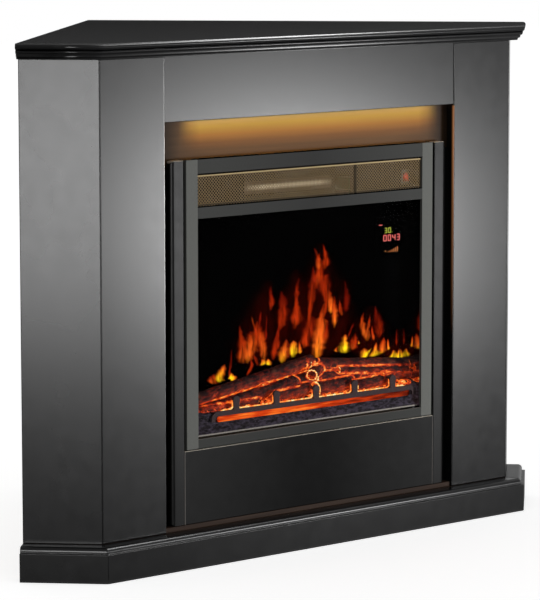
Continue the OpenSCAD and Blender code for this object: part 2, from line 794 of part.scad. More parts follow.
ember_end = 30;                         // from the casing's sides to the lamp strip
ember_y0 = screen_back + 7;
ember_d = 20;
ember_n = 18;
lamp_w = 5;
lamp_h = 2;
module ember_lamps() color([0.15, 0.35, 0.20]) in_place() {
    half = inner_half - ember_end;
    pitch = 2 * half / (ember_n + 1);
    block(-half, half, ember_y0, ember_y0 + ember_d, inner_z0, inner_z0 + pcb_t);
    for (i = [0 : ember_n - 1])
        translate([(i - (ember_n - 1) / 2) * pitch, ember_y0 + ember_d / 2,
            inner_z0 + pcb_t + lamp_h / 2]) cube([lamp_w, lamp_w, lamp_h], center = true);
}

// ---- heater bay ----

module heater_duct() color([0.6, 0.6, 0.6]) in_place() difference() {
    union() {
        block(duct_x0, duct_x1, duct_y0, duct_y1, duct_z1 - sheet_t, duct_z1);
        for (x = [duct_x0, duct_x1 - sheet_t])
            block(x, x + sheet_t, duct_y0, duct_y1, bay_z1, duct_z1);
    }
    bar_x(duct_x0 - 1, duct_x0 + 5, fan_y, fan_z, shaft_r + run_clear);
    bar_x(duct_x1 - 5, duct_x1 + 1, fan_y, fan_z, shaft_r + 2);
}

element_d = 8;
element_in = 6;                         // from the duct's mouth to the element
fin_n = 23;
fin_t = 1;
fin_over = 4;
module heating_element() color([0.8, 0.76, 0.68]) in_place() {
    x0 = duct_x0 + sheet_t;
    x1 = duct_x1 - sheet_t;
    y0 = duct_y0 + element_in;
    block(x0, x1, y0, y0 + element_d, fan_z - element_h / 2, fan_z + element_h / 2);
    for (i = [1 : fin_n])
        translate([x0 + i * (x1 - x0) / (fin_n + 1), y0 + element_d / 2, fan_z])
            cube([fin_t, element_d + 2 * fin_over, element_h + 2 * fin_over], center = true);
}

module fan_wheel() color([0.65, 0.66, 0.68]) in_place() {
    x0 = duct_x0 + sheet_t + 8;
    x1 = duct_x1 - sheet_t - 8;
    bar_x(duct_x0 - 5, duct_x1 + 2 + motor_l * 0.6, fan_y, fan_z, shaft_r);
    for (x = [x0, (x0 + x1) / 2, x1]) bar_x(x - 1, x + 1, fan_y, fan_z, fan_r);
    for (i = [0 : fan_blades - 1])
        translate([(x0 + x1) / 2, fan_y, fan_z]) rotate([i * 360 / fan_blades, 0, 0])
            translate([0, 0, fan_r - 5]) rotate([35, 0, 0])
                cube([x1 - x0, 1.2, 8], center = true);
}

module fan_motor() color([0.35, 0.35, 0.36]) in_place() difference() {
    union() {
        bar_x(duct_x1 + 2, duct_x1 + 2 + motor_l, fan_y, fan_z, 20);
        block(duct_x1 + 4, duct_x1 + motor_l, fan_y - 16, fan_y + 16, bay_z1, fan_z);
    }
    bar_x(duct_x1 + 1, duct_x1 + 2 + motor_l * 0.7, fan_y, fan_z, shaft_r + run_clear);
}

module control_plate() color(steel) in_place() difference() {
    block(door_split + 8, inner_half, control_y, control_y + sheet_t, bay_z1, inner_z1);
    block(switch_x - rocker_side - switch_wall, switch_x + rocker_side + switch_wall,
        0, big, switch_z - rocker_cell - switch_wall, switch_z + rocker_cell + switch_wall);
}

// The switch's case: a flange on the plate, and an open cell for the rocker
module power_switch() color([0.05, 0.05, 0.05]) in_place() difference() {
    union() {
        block(switch_x - rocker_side - switch_wall, switch_x + rocker_side + switch_wall,
            control_y, control_y + 16,
            switch_z - rocker_cell - switch_wall, switch_z + rocker_cell + switch_wall);
        block(switch_x - rocker_side - 4, switch_x + rocker_side + 4, control_y - 2, control_y,
            switch_z - rocker_cell - 4, switch_z + rocker_cell + 4);
    }
    block(switch_x - rocker_side, switch_x + rocker_side, control_y - 3, control_y + 8,
        switch_z - rocker_cell, switch_z + rocker_cell);
    bar_x(switch_x - rocker_side - 1.2, switch_x + rocker_side + 1.2, pivot_y, switch_z,
        1.2 + run_clear);
}

module power_rocker() color([0.8, 0.08, 0.05]) in_place()
    translate([switch_x, pivot_y, switch_z]) rotate([-rocker_tilt, 0, 0]) {
        intersection() {
            bar_x(-rocker_w / 2, rocker_w / 2, 0, 0, rocker_r);
            difference() {
                block(-rocker_w, rocker_w, -5, 2.5, -big, big);
                for (s = [0, 1]) mirror([0, 0, s]) translate([0, -3.2, 0]) rotate([rocker_tilt, 0, 0])
                    block(-big, big, -20, 0, 0, big);
            }
        }
        bar_x(-rocker_side - 0.8, rocker_side + 0.8, 0, 0, 1.2);
    }

control_in = 30;                        // from the joint beside the door to the board
control_end = 10;                       // from the board to the casing's side
control_d = 100;
post_h = 8;
post_r = 3;
part_gap = 8;
trafo = [28, 30, 22];
relay = [16, 20, 15];
terminal = [50, 14, 10];
module control_board() color([0.12, 0.33, 0.18]) in_place() {
    x0 = door_split + control_in;
    x1 = inner_half - control_end;
    y0 = control_y + sheet_t + control_d / 4;
    y1 = y0 + control_d;
    z0 = bay_z1 + post_h;
    z1 = z0 + pcb_t;
    relay_x = x0 + 2 * part_gap + trafo[0];
    block(x0, x1, y0, y1, z0, z1);
    for (x = [x0 + 2 * post_r, x1 - 2 * post_r], y = [y0 + 2 * post_r, y1 - 2 * post_r])
        translate([x, y, bay_z1]) cylinder(h = post_h, r = post_r);
    translate([x0 + part_gap, y0 + 2 * part_gap, z1]) cube(trafo);
    for (i = [0, 1])
        translate([relay_x + i * (relay[0] + part_gap), y0 + 2 * part_gap, z1]) cube(relay);
    translate([relay_x, y1 - part_gap - terminal[1], z1]) cube(terminal);
}

top_board();
left_pilaster();
right_pilaster();
left_side_panel();
right_side_panel();
header_panel();
niche_panel();
side_back_boards();
lower_back_board();
side_strips();
lower_panel();
foot_strip();
plinth_front();
plinth_left();
plinth_right();
base_board();
base_battens();
rear_rails();
corner_post();
insert_shelf();
shelf_supports();
light_profile();
light_strip();
light_diffuser();
corner_braces();
brace_screws();
left_stile();
right_stile();
top_rail();
middle_rail();
bottom_rail();
heater_grille();
control_door();
door_pins();
door_fittings();
glass_pane();
display_board();
casing_top();
casing_base();
casing_sides();
casing_back();
bay_floor();
flame_screen();
ember_bed();
log_set();
grate();
flicker_rod();
flicker_bearing();
flicker_motor();
ember_lamps();
heater_duct();
heating_element();
fan_wheel();
fan_motor();
control_plate();
power_switch();
power_rocker();
control_board();
cable_gland();
casing_screws();
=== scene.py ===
import json
import math

import bmesh
import bpy
from mathutils import Matrix, Vector, noise


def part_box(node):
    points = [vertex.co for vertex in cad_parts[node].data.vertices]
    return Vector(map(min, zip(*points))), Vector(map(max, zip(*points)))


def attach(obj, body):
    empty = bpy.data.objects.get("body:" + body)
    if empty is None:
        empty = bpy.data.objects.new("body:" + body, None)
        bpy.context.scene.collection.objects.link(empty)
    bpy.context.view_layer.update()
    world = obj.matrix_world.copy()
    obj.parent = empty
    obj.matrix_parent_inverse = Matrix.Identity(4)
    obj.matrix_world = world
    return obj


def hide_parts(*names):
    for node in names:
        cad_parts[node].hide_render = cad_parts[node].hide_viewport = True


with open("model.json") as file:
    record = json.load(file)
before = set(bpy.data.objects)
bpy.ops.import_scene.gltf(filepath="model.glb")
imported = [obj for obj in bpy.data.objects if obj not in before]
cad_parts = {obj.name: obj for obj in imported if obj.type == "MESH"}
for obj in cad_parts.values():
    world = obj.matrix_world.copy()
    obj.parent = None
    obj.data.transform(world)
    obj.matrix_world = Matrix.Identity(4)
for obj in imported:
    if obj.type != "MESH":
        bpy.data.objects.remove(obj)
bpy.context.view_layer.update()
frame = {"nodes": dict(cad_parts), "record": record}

NODES = frame["nodes"]
SLOT_OF = {entry["node"]: entry["material_slot"] for entry in frame["record"]["subparts"]}
BODIES = frame["record"]["behaviour"]["bodies"]
BODY_OF = {member: body for body, members in BODIES.items() for member in members}

# The pilasters' face. Sizes below are in millimetres: x from the middle, y back from this face, z up.
FACE_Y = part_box("left_pilaster")[0].y
# where the painted highlight on the lower panel's outer edge starts
LOWER_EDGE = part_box("lower_panel")[1].x - 0.0018


def at(x, y, z):
    """A point given from the pilasters' face in millimetres, as metres in the frame."""
    return Vector((x / 1000, FACE_Y + y / 1000, z / 1000))


def held(value, low=0.0, high=1.0):
    return min(high, max(low, value))


# ---------------------------------------------------------------- objects and nodes


def added(name, data):
    """A new object in the scene."""
    made = bpy.data.objects.new(name, data)
    bpy.context.scene.collection.objects.link(made)
    return made


def group_of(name, members):
    group = bpy.data.collections.new(name)
    for member in members:
        group.objects.link(member)
    return group


def emptied(owner):
    """The node tree of a world, lamp or material, without its first nodes."""
    owner.use_nodes = True
    owner.node_tree.nodes.clear()
    return owner.node_tree


def join_up(tree, *pairs):
    for start, end in pairs:
        tree.links.new(start, end)


def feed(tree, socket, value):
    """Joins a socket to another node's output, or sets it to a number or a colour."""
    if isinstance(value, bpy.types.NodeSocket):
        tree.links.new(value, socket)
    elif isinstance(value, tuple):
        socket.default_value = (*value, 1)
    else:
        socket.default_value = value


def set_inputs(tree, made, **inputs):
    """Feeds a node's inputs by name, with an underscore for each space in the name."""
    for name, value in inputs.items():
        feed(tree, made.inputs[name.replace("_", " ")], value)
    return made


def shader_node(tree, kind, **inputs):
    return set_inputs(tree, tree.nodes.new("ShaderNode" + kind), **inputs)


def math_of(tree, operation, first, second=0.0):
    made = tree.nodes.new("ShaderNodeMath")
    made.operation = operation
    feed(tree, made.inputs[0], first)
    feed(tree, made.inputs[1], second)
    return made.outputs[0]


def product(tree, first, *others):
    for other in others:
        first = math_of(tree, "MULTIPLY", first, other)
    return first


def away_from(tree, value, middle=0.0):
    """How far a value is from the middle, on either side of it."""
    return math_of(tree, "ABSOLUTE", math_of(tree, "SUBTRACT", value, middle))


# ---------------------------------------------------------------- camera, lamps, room

WHITE = (1, 1, 1)
PHOTO_SIDE = 600
SENSOR_SIDE = 36


def photo_camera():
    """The photo's camera, solved from the mantel's edges. Lengths on the photo are in its pixels."""
    yaw = math.radians(40.03)
    pitch = math.radians(7.239)
    look = Vector((math.sin(yaw) * math.cos(pitch), math.cos(yaw) * math.cos(pitch), -math.sin(pitch)))
    focal_length = 3217.08
    shift_across = -11.28
    shift_up = -24.6
    data = bpy.data.cameras.new("photo_camera")
    data.sensor_fit = "AUTO"
    data.sensor_width = SENSOR_SIDE
    data.lens = focal_length * SENSOR_SIDE / PHOTO_SIDE
    data.shift_x = shift_across / PHOTO_SIDE
    data.shift_y = shift_up / PHOTO_SIDE
    data.clip_end = 50
    camera = added("photo_camera", data)
    camera.location = (-3.84628, -4.81197, 1.25355)
    camera.rotation_euler = look.to_track_quat("-Z", "Y").to_euler()
    bpy.context.scene.camera = camera


def area_lamp(name, width, height, power):
    data = bpy.data.lights.new(name, "AREA")
    data.shape = "RECTANGLE"
    data.size = width
    data.size_y = height
    data.energy = power
    lamp = added(name, data)
    lamp.visible_camera = False
    return lamp


def turned_to(place, target, axis):
    return (Vector(target) - Vector(place)).to_track_quat(axis, "Y")


def softbox(name, place, target, width, height, power):
    lamp = area_lamp(name, width, height, power)
    lamp.location = place
    lamp.rotation_euler = turned_to(place, target, "-Z").to_euler()
    return lamp


def seen_rays(tree):
    """1 for camera, mirror and see-through rays, 0 for those that light the object."""
    rays = tree.nodes.new("ShaderNodeLightPath").outputs
    seen = math_of(tree, "MAXIMUM", rays["Is Camera Ray"], rays["Is Glossy Ray"])
    return math_of(tree, "MAXIMUM", seen, rays["Is Transmission Ray"])


def studio_world():
    world = bpy.data.worlds.new("studio")
    bpy.context.scene.world = world
    tree = emptied(world)
    light = shader_node(tree, "Background", Color=WHITE, Strength=0.4)
    white = shader_node(tree, "Background", Color=WHITE, Strength=1)
    mix = tree.nodes.new("ShaderNodeMixShader")
    feed(tree, mix.inputs[0], seen_rays(tree))
    feed(tree, mix.inputs[1], light.outputs[0])
    feed(tree, mix.inputs[2], white.outputs[0])
    shader_node(tree, "OutputWorld", Surface=mix.outputs[0])


def card(name, width, height):
    """A flat card with a material of its own. Gives the card and the material's empty node tree."""
    w = width / 2
    h = height / 2
    mesh = bpy.data.meshes.new(name)
    mesh.from_pydata([(-w, -h, 0), (w, -h, 0), (w, h, 0), (-w, h, 0)], [], [(0, 1, 2, 3)])
    paint = bpy.data.materials.new(name)
    mesh.materials.append(paint)
    made = added(name, mesh)
    return made, emptied(paint)


def pale_floor():
    floor, tree = card("floor", 28, 28)
    matt = shader_node(tree, "BsdfDiffuse", Color=(0.8, 0.8, 0.8))
    white = shader_node(tree, "Emission", Color=WHITE, Strength=product(tree, seen_rays(tree), 0.72))
    total = tree.nodes.new("ShaderNodeAddShader")
    feed(tree, total.inputs[0], matt.outputs[0])
    feed(tree, total.inputs[1], white.outputs[0])
    shader_node(tree, "OutputMaterial", Surface=total.outputs[0])
    return floor


def mirror_card(name, place, target, width, height, value):
    """A card that only reflections see, so that a lacquered face mirrors it and not the white room."""
    made, tree = card(name, width, height)
    turn = turned_to(place, target, "Z").to_matrix().to_4x4()
    made.data.transform(Matrix.Translation(place) @ turn)
    tone = shader_node(tree, "Emission", Color=(value, value, value))
    shader_node(tree, "OutputMaterial", Surface=tone.outputs[0])
    for rays in ("camera", "diffuse", "transmission", "volume_scatter", "shadow"):
        setattr(made, "visible_" + rays, False)


def left_out(floor):
    """The dark glass doesn't mirror the softboxes, and they don't burn out the floor beside them."""
    dark = [NODES[name] for name in ("glass_pane", "flame_screen", "display_board")]
    group = group_of("not_lit_by_softboxes", [floor, *dark])
    for entry in group.collection_objects:
        entry.light_linking.link_state = "EXCLUDE"
    return group


def studio():
    bpy.context.scene.view_settings.view_transform = "Standard"
    photo_camera()
    studio_world()
    group = left_out(pale_floor())
    front = softbox("front_softbox", (2.024, -2.795, 0.233), (-0.06, -0.33, 0.595), 0.58, 0.50, 112)
    side = softbox("side_softbox", (-2.297, -2.062, 0.52), (-0.545, -0.28, 0.52), 1.62, 0.82, 141)
    side.visible_diffuse = False
    for lamp in (front, side):
        lamp.light_linking.receiver_collection = group
    mirror_card("dark_card", (1.75, 2.1, 1.55), (0, 0, 0.95), 3.4, 1.5, 0.02)
    mirror_card("grey_card_on_floor", (-0.4, -0.9, 0.004), (-0.4, -0.9, 5), 7.5, 7.5, 0.5)


def edge_lamps():
    """Two softboxes that only some lacquered boards mirror, in their eased edges and mouldings."""
    right = softbox("edge_softbox_right", (2.58, -0.95, 0.30), (-0.35, -0.33, 0.60), 0.9, 0.8, 230)
    above = softbox("edge_softbox_above", (1.6, -0.65, 3.1), (0, -0.35, 0.95), 3.0, 0.5, 230)
    mouldings = ["moulded_top", "plinth_moulding_front", "plinth_moulding_left"]
    mouldings += ["liner_strips", "liner_below_fire", "header_over_niche"]
    for lamp, boards in ((right, ["pilaster_left"]), (above, mouldings)):
        lamp.visible_diffuse = False
        group = group_of("lit_by_" + lamp.name, [bpy.data.objects[name] for name in boards])
        lamp.light_linking.receiver_collection = group


studio()

# ---------------------------------------------------------------- finishes

# what a noise texture mostly stays between
CLOUD_LOW = 0.3
CLOUD_HIGH = 0.7
BLACK = (0.0, 0.0, 0.0)


def finish(name, colour, rough, metal=0.0, spec=0.5):
    paint = bpy.data.materials.new(name)
    paint.use_nodes = True
    tree = paint.node_tree
    shader = tree.nodes["Principled BSDF"]
    set_inputs(tree, shader, Base_Color=colour, Roughness=rough, Metallic=metal, Specular_IOR_Level=spec)
    return paint, tree, shader


def coords(tree, scale=(1, 1, 1)):
    place = tree.nodes.new("ShaderNodeTexCoord")
    mapping = tree.nodes.new("ShaderNodeMapping")
    mapping.inputs["Scale"].default_value = scale
    tree.links.new(place.outputs["Object"], mapping.inputs["Vector"])
    return mapping.outputs["Vector"]


def axes(tree):
    """A place's x, y and z in the frame, in metres."""
    place = tree.nodes.new("ShaderNodeTexCoord")
    split = tree.nodes.new("ShaderNodeSeparateXYZ")
    tree.links.new(place.outputs["Object"], split.inputs[0])
    return tuple(split.outputs)


def facing_up(tree, start, end):
    """1 where the surface faces up, as a board's top edge does."""
    shape = tree.nodes.new("ShaderNodeNewGeometry")
    split = tree.nodes.new("ShaderNodeSeparateXYZ")
    tree.links.new(shape.outputs["Normal"], split.inputs[0])
    return between(tree, split.outputs["Z"], 0.0, 1.0, start, end)


def attribute(tree, name):
    made = tree.nodes.new("ShaderNodeAttribute")
    made.attribute_name = name
    return made.outputs["Fac"]


def grain(tree, vector, scale, detail=3.0, distortion=0.0):
    inputs = {"Vector": vector, "Scale": scale, "Detail": detail, "Distortion": distortion}
    return shader_node(tree, "TexNoise", **inputs).outputs["Fac"]


def cells(tree, vector, scale, feature="F1"):
    made = tree.nodes.new("ShaderNodeTexVoronoi")
    made.feature = feature
    return set_inputs(tree, made, Vector=vector, Scale=scale).outputs["Distance"]


def colours(tree, value, stops):
    made = tree.nodes.new("ShaderNodeValToRGB")
    ramp = made.color_ramp
    first, last = ramp.elements
    first.position, last.position = stops[0][0], stops[-1][0]
    first.color, last.color = (*stops[0][1], 1), (*stops[-1][1], 1)
    for place, colour in stops[1:-1]:
        ramp.elements.new(place).color = (*colour, 1)
    tree.links.new(value, made.inputs["Fac"])
    return made.outputs["Color"]


def two_tone(tree, cloud, dark, light):
    return colours(tree, cloud, [(CLOUD_LOW, dark), (CLOUD_HIGH, light)])


def between(tree, value, low, high, start=0.0, end=1.0):
    """From low to high, as the value goes from start to end."""
    inputs = {"Value": value, "From Min": start, "From Max": end, "To Min": low, "To Max": high}
    return shader_node(tree, "MapRange", **inputs).outputs["Result"]


def varied(tree, cloud, low, high):
    return between(tree, cloud, low, high, CLOUD_LOW, CLOUD_HIGH)


def blend_of(tree, share, first, second):
    made = tree.nodes.new("ShaderNodeMix")
    made.data_type = "RGBA"
    tree.links.new(share, made.inputs["Factor"])
    sockets = [item for item in made.inputs if item.type == "RGBA"]
    feed(tree, sockets[0], first)
    feed(tree, sockets[1], second)
    return [item for item in made.outputs if item.type == "RGBA"][0]


def relief(tree, shader, height, strength, distance):
    made = shader_node(tree, "Bump", Strength=strength, Distance=distance, Height=height)
    tree.links.new(made.outputs["Normal"], shader.inputs["Normal"])


def tinted(colour, share):
    return tuple(min(1.0, share * part) for part in colour)


LACQUER_SHEEN = 0.131


def graphite_lacquer(name="graphite_lacquer"):
    paint, tree, shader = finish(name, (0.003, 0.003, 0.0033), 0.255, spec=LACQUER_SHEEN)
    where = coords(tree)
    shade = two_tone(tree, grain(tree, where, 9, 4), (0.0026, 0.0026, 0.0028), (0.0042, 0.0042, 0.0045))
    rough = varied(tree, grain(tree, where, 40, 3), 0.243, 0.268)
    set_inputs(tree, shader, Base_Color=shade, Roughness=rough)
    relief(tree, shader, grain(tree, where, 420, 2), 0.03, 0.0002)
    return paint, tree, shader


def pilaster_lacquer():
    """The front's lacquer, with the niche's light painted on as a glow along the edge beside the niche and
    below it.
    """
    paint, tree, shader = graphite_lacquer("pilaster_lacquer")
    x, y, z = axes(tree)
    inner = between(tree, away_from(tree, x), 1.0, 0.0, 0.3508, 0.3512)
    edge = between(tree, y, 1.0, 0.0, FACE_Y + 0.003, FACE_Y + 0.007)
    height = between(tree, z, 0.0, 1.0, 0.36, 0.74)
    below = between(tree, z, 1.0, 0.0, 0.800, 0.803)
    # painted light: the niche's glow on the pilaster's inner edge, given as emission
    light = product(tree, inner, edge, height, below)
    set_inputs(tree, shader, Emission_Color=(0.23, 0.088, 0.030), Emission_Strength=light)
    return paint


def plinth_end_lacquer():
    """The front's lacquer with its sheen painted down where it faces up: painted shade in place of the
    backdrop's reflection there.
    """
    paint, tree, shader = graphite_lacquer("plinth_end_lacquer")
    # painted shade: less sheen on the faces that point up
    sheen = between(tree, facing_up(tree, 0.3, 0.8), LACQUER_SHEEN, 0.025)
    set_inputs(tree, shader, Specular_IOR_Level=sheen)
    return paint


def liner_lacquer(name, base, rough, sheen, edge_highlight_from):
    """The satin lacquer of the boards round the fire, with painted highlights on their top and outer edges.

    The painted sheen is given as the distances from the middle where it starts and stops to change, and its
    value at each.
    """
    start, stop, first, last = sheen
    paint, tree, shader = finish(name, (base, base, base), rough)
    where = coords(tree)
    across = away_from(tree, axes(tree)[0])
    dark = (0.75 * base, 0.75 * base, 0.76 * base)
    light = (1.2 * base, 1.2 * base, 1.22 * base)
    shade = two_tone(tree, grain(tree, where, 12, 4), dark, light)
    # painted highlight: the top edges are painted pale, for the light from above falling on them
    painted_lit_top = blend_of(tree, facing_up(tree, 0.3, 0.6), shade, (0.42, 0.38, 0.32))
    # painted highlight: a pale line down the lower panel's outer edge
    outer = between(tree, across, 0.0, 1.0, edge_highlight_from, edge_highlight_from + 0.0004)
    # painted sheen: the sheen changes with the distance from the middle, standing in for the room's
    # reflections
    set_inputs(
        tree,
        shader,
        Base_Color=blend_of(tree, outer, painted_lit_top, (0.13, 0.12, 0.11)),
        Roughness=varied(tree, grain(tree, where, 50), 0.95 * rough, 1.05 * rough),
        Specular_IOR_Level=between(tree, across, first, last, start, stop),
    )
    relief(tree, shader, grain(tree, where, 500, 2), 0.04, 0.0002)
    return paint


def niche_lacquer():
    """Brown lacquer with the diffuser's bright light painted on its upper edge as emission, and painted
    shade at both ends.
    """
    paint, tree, shader = finish("niche_lacquer", (0.040, 0.028, 0.020), 0.55, spec=0.04)
    streak = grain(tree, coords(tree, (5, 60, 160)), 1.0, 4, 0.2)
    relief(tree, shader, streak, 0.06, 0.0003)
    shade = two_tone(tree, streak, (0.036, 0.025, 0.018), (0.044, 0.031, 0.022))
    x, _, z = axes(tree)
    # painted shade: the colour goes near black towards both ends
    ends = between(tree, away_from(tree, x), 0.0, 1.0, 0.300, 0.345)
    # painted light: the lamp's light down the panel, from dark to pale yellow under the header
    painted_wash = [(0.0, BLACK), (0.22, (0.04, 0.01, 0)), (0.49, (0.17, 0.068, 0.004))]
    painted_wash += [(0.76, (0.20, 0.15, 0.012)), (0.95, (0.21, 0.18, 0.055))]
    lamp_middle = 0.0125
    set_inputs(
        tree,
        shader,
        Base_Color=blend_of(tree, ends, shade, (0.006, 0.005, 0.005)),
        Emission_Color=colours(tree, between(tree, z, 0.0, 1.0, 0.748, 0.803), painted_wash),
        Emission_Strength=between(tree, away_from(tree, x, lamp_middle), 1.0, 0.0, 0.265, 0.315),
    )
    return paint


def brown_lacquer():
    paint, tree, shader = finish("brown_lacquer", (0.016, 0.011, 0.009), 0.55, spec=0.05)
    streak = grain(tree, coords(tree, (6, 90, 220)), 1.0, 4, 0.3)
    set_inputs(tree, shader, Base_Color=two_tone(tree, streak, (0.016, 0.009, 0.006), (0.030, 0.017, 0.011)))
    relief(tree, shader, streak, 0.1, 0.0004)
    return paint


def raw_board():
    paint, tree, shader = finish("raw_board", (0.45, 0.33, 0.20), 0.75, spec=0.2)
    where = coords(tree)
    flakes = cells(tree, where, 260)
    broad = product(tree, grain(tree, where, 30, 4), 0.5)
    mixed = math_of(tree, "ADD", product(tree, flakes, 0.6), broad)
    stops = [(0.2, (0.27, 0.18, 0.10)), (0.5, (0.46, 0.33, 0.20)), (0.85, (0.60, 0.46, 0.30))]
    set_inputs(tree, shader, Base_Color=colours(tree, mixed, stops))
    relief(tree, shader, flakes, 0.25, 0.0006)
    return paint


def metal_finish(name, colour, rough, spots=300, depth=0.05, metal=1.0, spec=0.5, vary=0.15):
    paint, tree, shader = finish(name, colour, rough, metal, spec)
    where = coords(tree)
    cloud = grain(tree, where, spots, 3)
    smear = grain(tree, where, spots / 8, 3)
    set_inputs(
        tree,
        shader,
        Base_Color=two_tone(tree, cloud, tinted(colour, 1 - vary), tinted(colour, 1 + vary)),
        Roughness=varied(tree, smear, 0.8 * rough, min(1.0, 1.25 * rough)),
    )
    relief(tree, shader, cloud, depth, 0.0003)
    return paint


def plastic_finish(name, colour, rough, spots=500, depth=0.06, spec=0.5):
    return metal_finish(name, colour, rough, spots, depth, metal=0.0, spec=spec)


def powder_coat(name, colour):
    """A matt grey coat over pressed steel, finely grained."""
    paint, tree, shader = finish(name, colour, 0.62, spec=0.12)
    cloud = grain(tree, coords(tree, (1, 1, 0.35)), 700, 3)
    set_inputs(tree, shader, Base_Color=two_tone(tree, cloud, tinted(colour, 0.95), tinted(colour, 1.05)))
    relief(tree, shader, cloud, 0.03, 0.0002)
    return paint


def rail_coat(name, colour, upper):
    """The rails' darker coat, with painted shade darkest in the middle of the fire, and the upper face
    painted another tone without sheen.
    """
    paint = powder_coat(name, colour)
    tree = paint.node_tree
    shader = tree.nodes["Principled BSDF"]
    cloud = shader.inputs["Base Color"].links[0].from_socket
    # painted shade: darker towards the middle of the fire
    middle = between(tree, away_from(tree, axes(tree)[0]), 0.72, 0.0, 0.0, 0.24)
    # painted light on the upper face: the given tone in place of its lighting, and no sheen
    up = facing_up(tree, 0.5, 0.8)
    shade = blend_of(tree, up, blend_of(tree, middle, cloud, BLACK), upper)
    set_inputs(tree, shader, Base_Color=shade, Specular_IOR_Level=between(tree, up, 0.11, 0.0))
    return paint


def rim_coat():
    """The sheets' dark folded rim, with a painted highlight along its upper folded edge."""
    paint, tree, shader = finish("grille_rim_coat", (0.04, 0.03, 0.018), 0.6, spec=0.03)
    cloud = grain(tree, coords(tree), 300, 3)
    shade = two_tone(tree, cloud, (0.030, 0.022, 0.013), (0.050, 0.036, 0.020))
    # painted highlight: a bright band along the upper folded edge
    painted_fold_highlight = between(tree, axes(tree)[2], 0.0, 1.0, 0.7022, 0.7027)
    set_inputs(tree, shader, Base_Color=blend_of(tree, painted_fold_highlight, shade, (0.42, 0.32, 0.17)))
    relief(tree, shader, cloud, 0.03, 0.0003)
    return paint


def heater_ceramic():
    """Pale ceramic painted as a glow, so that it shows through the grille as a thin soft bar."""
    paint, tree, shader = finish("heater_ceramic", (0.10, 0.085, 0.06), 0.6, spec=0.1)
    low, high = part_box("heating_element")
    middle = (low + high) / 2
    half = (high.x - low.x) / 2
    x, _, z = axes(tree)
    bar = between(tree, away_from(tree, z, middle.z), 1.0, 0.0, 0.0015, 0.0060)
    ends = between(tree, away_from(tree, x, middle.x), 1.0, 0.0, half - 0.03, half)
    blotch = varied(tree, grain(tree, coords(tree), 60, 3), 0.7, 1.15)
    stops = [(0.0, (0.02, 0.008, 0.004)), (1.0, (0.60, 0.50, 0.34))]
    glow = colours(tree, product(tree, bar, ends, blotch), stops)
    # painted light: the pale bar is emission, standing in for light on the ceramic
    set_inputs(tree, shader, Emission_Color=glow, Emission_Strength=0.75)
    return paint


def lit_rocker():
    """Red plastic lit from inside, brightest in its middle."""
    paint, tree, shader = finish("red_plastic", (0.10, 0.008, 0.005), 0.4, spec=0.2)
    low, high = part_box("power_rocker")
    place = tree.nodes.new("ShaderNodeTexCoord")
    far = tree.nodes.new("ShaderNodeVectorMath")
    far.operation = "DISTANCE"
    far.inputs[1].default_value = (low + high) / 2
    tree.links.new(place.outputs["Object"], far.inputs[0])
    lamp = between(tree, far.outputs["Value"], 1.0, 0.0, 0.001, 0.009)
    glow = colours(tree, lamp, [(0.0, (0.03, 0.001, 0.0)), (1.0, (1.0, 0.05, 0.02))])
    set_inputs(tree, shader, Emission_Color=glow, Emission_Strength=0.8)
    return paint


def lit_finish(name, colour, glow, strength, rough=0.4, spec=0.5, spots=180, detail=2, dim=0.85):
    paint, tree, shader = finish(name, colour, rough, spec=spec)
    cloud = grain(tree, coords(tree), spots, detail)
    light = two_tone(tree, cloud, tinted(glow, dim), glow)
    set_inputs(tree, shader, Emission_Color=light, Emission_Strength=strength)
    return paint


def digit_light(name, glow, strength):
    return lit_finish(name, BLACK, glow, strength, 0.5, 0.1, 500, 1, 0.9)


def front_glass():
    paint, tree, shader = finish("front_glass", (0.001, 0.001, 0.0012), 0.05, spec=0.03)
    haze = grain(tree, coords(tree), 14, 3)
    set_inputs(tree, shader, Roughness=varied(tree, haze, 0.04, 0.08), Alpha=0.15)
    return paint


def smoked_screen():
    paint, tree, shader = finish("smoked_screen", (0.0006, 0.0005, 0.0005), 0.3, spec=0.004)
    haze = grain(tree, coords(tree), 22, 3)
    set_inputs(tree, shader, Roughness=varied(tree, haze, 0.25, 0.4))
    return paint


# the light of embers, from cold to hottest
EMBER = (
    (0.08, BLACK),
    (0.30, (0.14, 0.008, 0.001)),
    (0.50, (0.62, 0.045, 0.004)),
    (0.68, (1.0, 0.19, 0.018)),
    (0.86, (1.0, 0.52, 0.12)),
    (1.00, (1.0, 0.82, 0.42)),
)


def ember_glow(tree, shader, cloud, low, high, strength):
    """Ember light by the piece's warmth attribute, made uneven by the cloud."""
    heat = product(tree, attribute(tree, "warmth"), varied(tree, cloud, low, high))
    set_inputs(tree, shader, Emission_Color=colours(tree, heat, EMBER), Emission_Strength=strength)


def log_bark():
    """Charred bark: brown plates, and cracks and contacts that glow as their warmth attribute says."""
    paint, tree, shader = finish("log_bark", (0.035, 0.013, 0.010), 0.8, spec=0.06)
    where = coords(tree)
    stops = [(0.3, (0.014, 0.008, 0.011)), (0.55, (0.055, 0.022, 0.020)), (0.75, (0.125, 0.045, 0.028))]
    set_inputs(tree, shader, Base_Color=colours(tree, grain(tree, where, 55, 5), stops))
    fine = grain(tree, where, 380, 4)
    relief(tree, shader, fine, 0.5, 0.0008)
    ember_glow(tree, shader, fine, 0.8, 1.15, 1.35)
    return paint


def glowing_ember():
    paint, tree, shader = finish("glowing_ember", (0.05, 0.012, 0.006), 0.6, spec=0.2)
    speck = grain(tree, coords(tree), 260, 4)
    ember_glow(tree, shader, speck, 0.7, 1.2, 1.5)
    relief(tree, shader, speck, 0.3, 0.0006)
    return paint


def slot_light():
    """Embers behind the tray's slot, drawn out in long streaks."""
    paint, tree, shader = finish("slot_light", (0.02, 0.004, 0.002), 0.7, spec=0.02)
    streak = grain(tree, coords(tree, (34, 1, 520)), 1.0, 3, 0.3)
    ember_glow(tree, shader, streak, 0.82, 1.16, 1.4)
    return paint


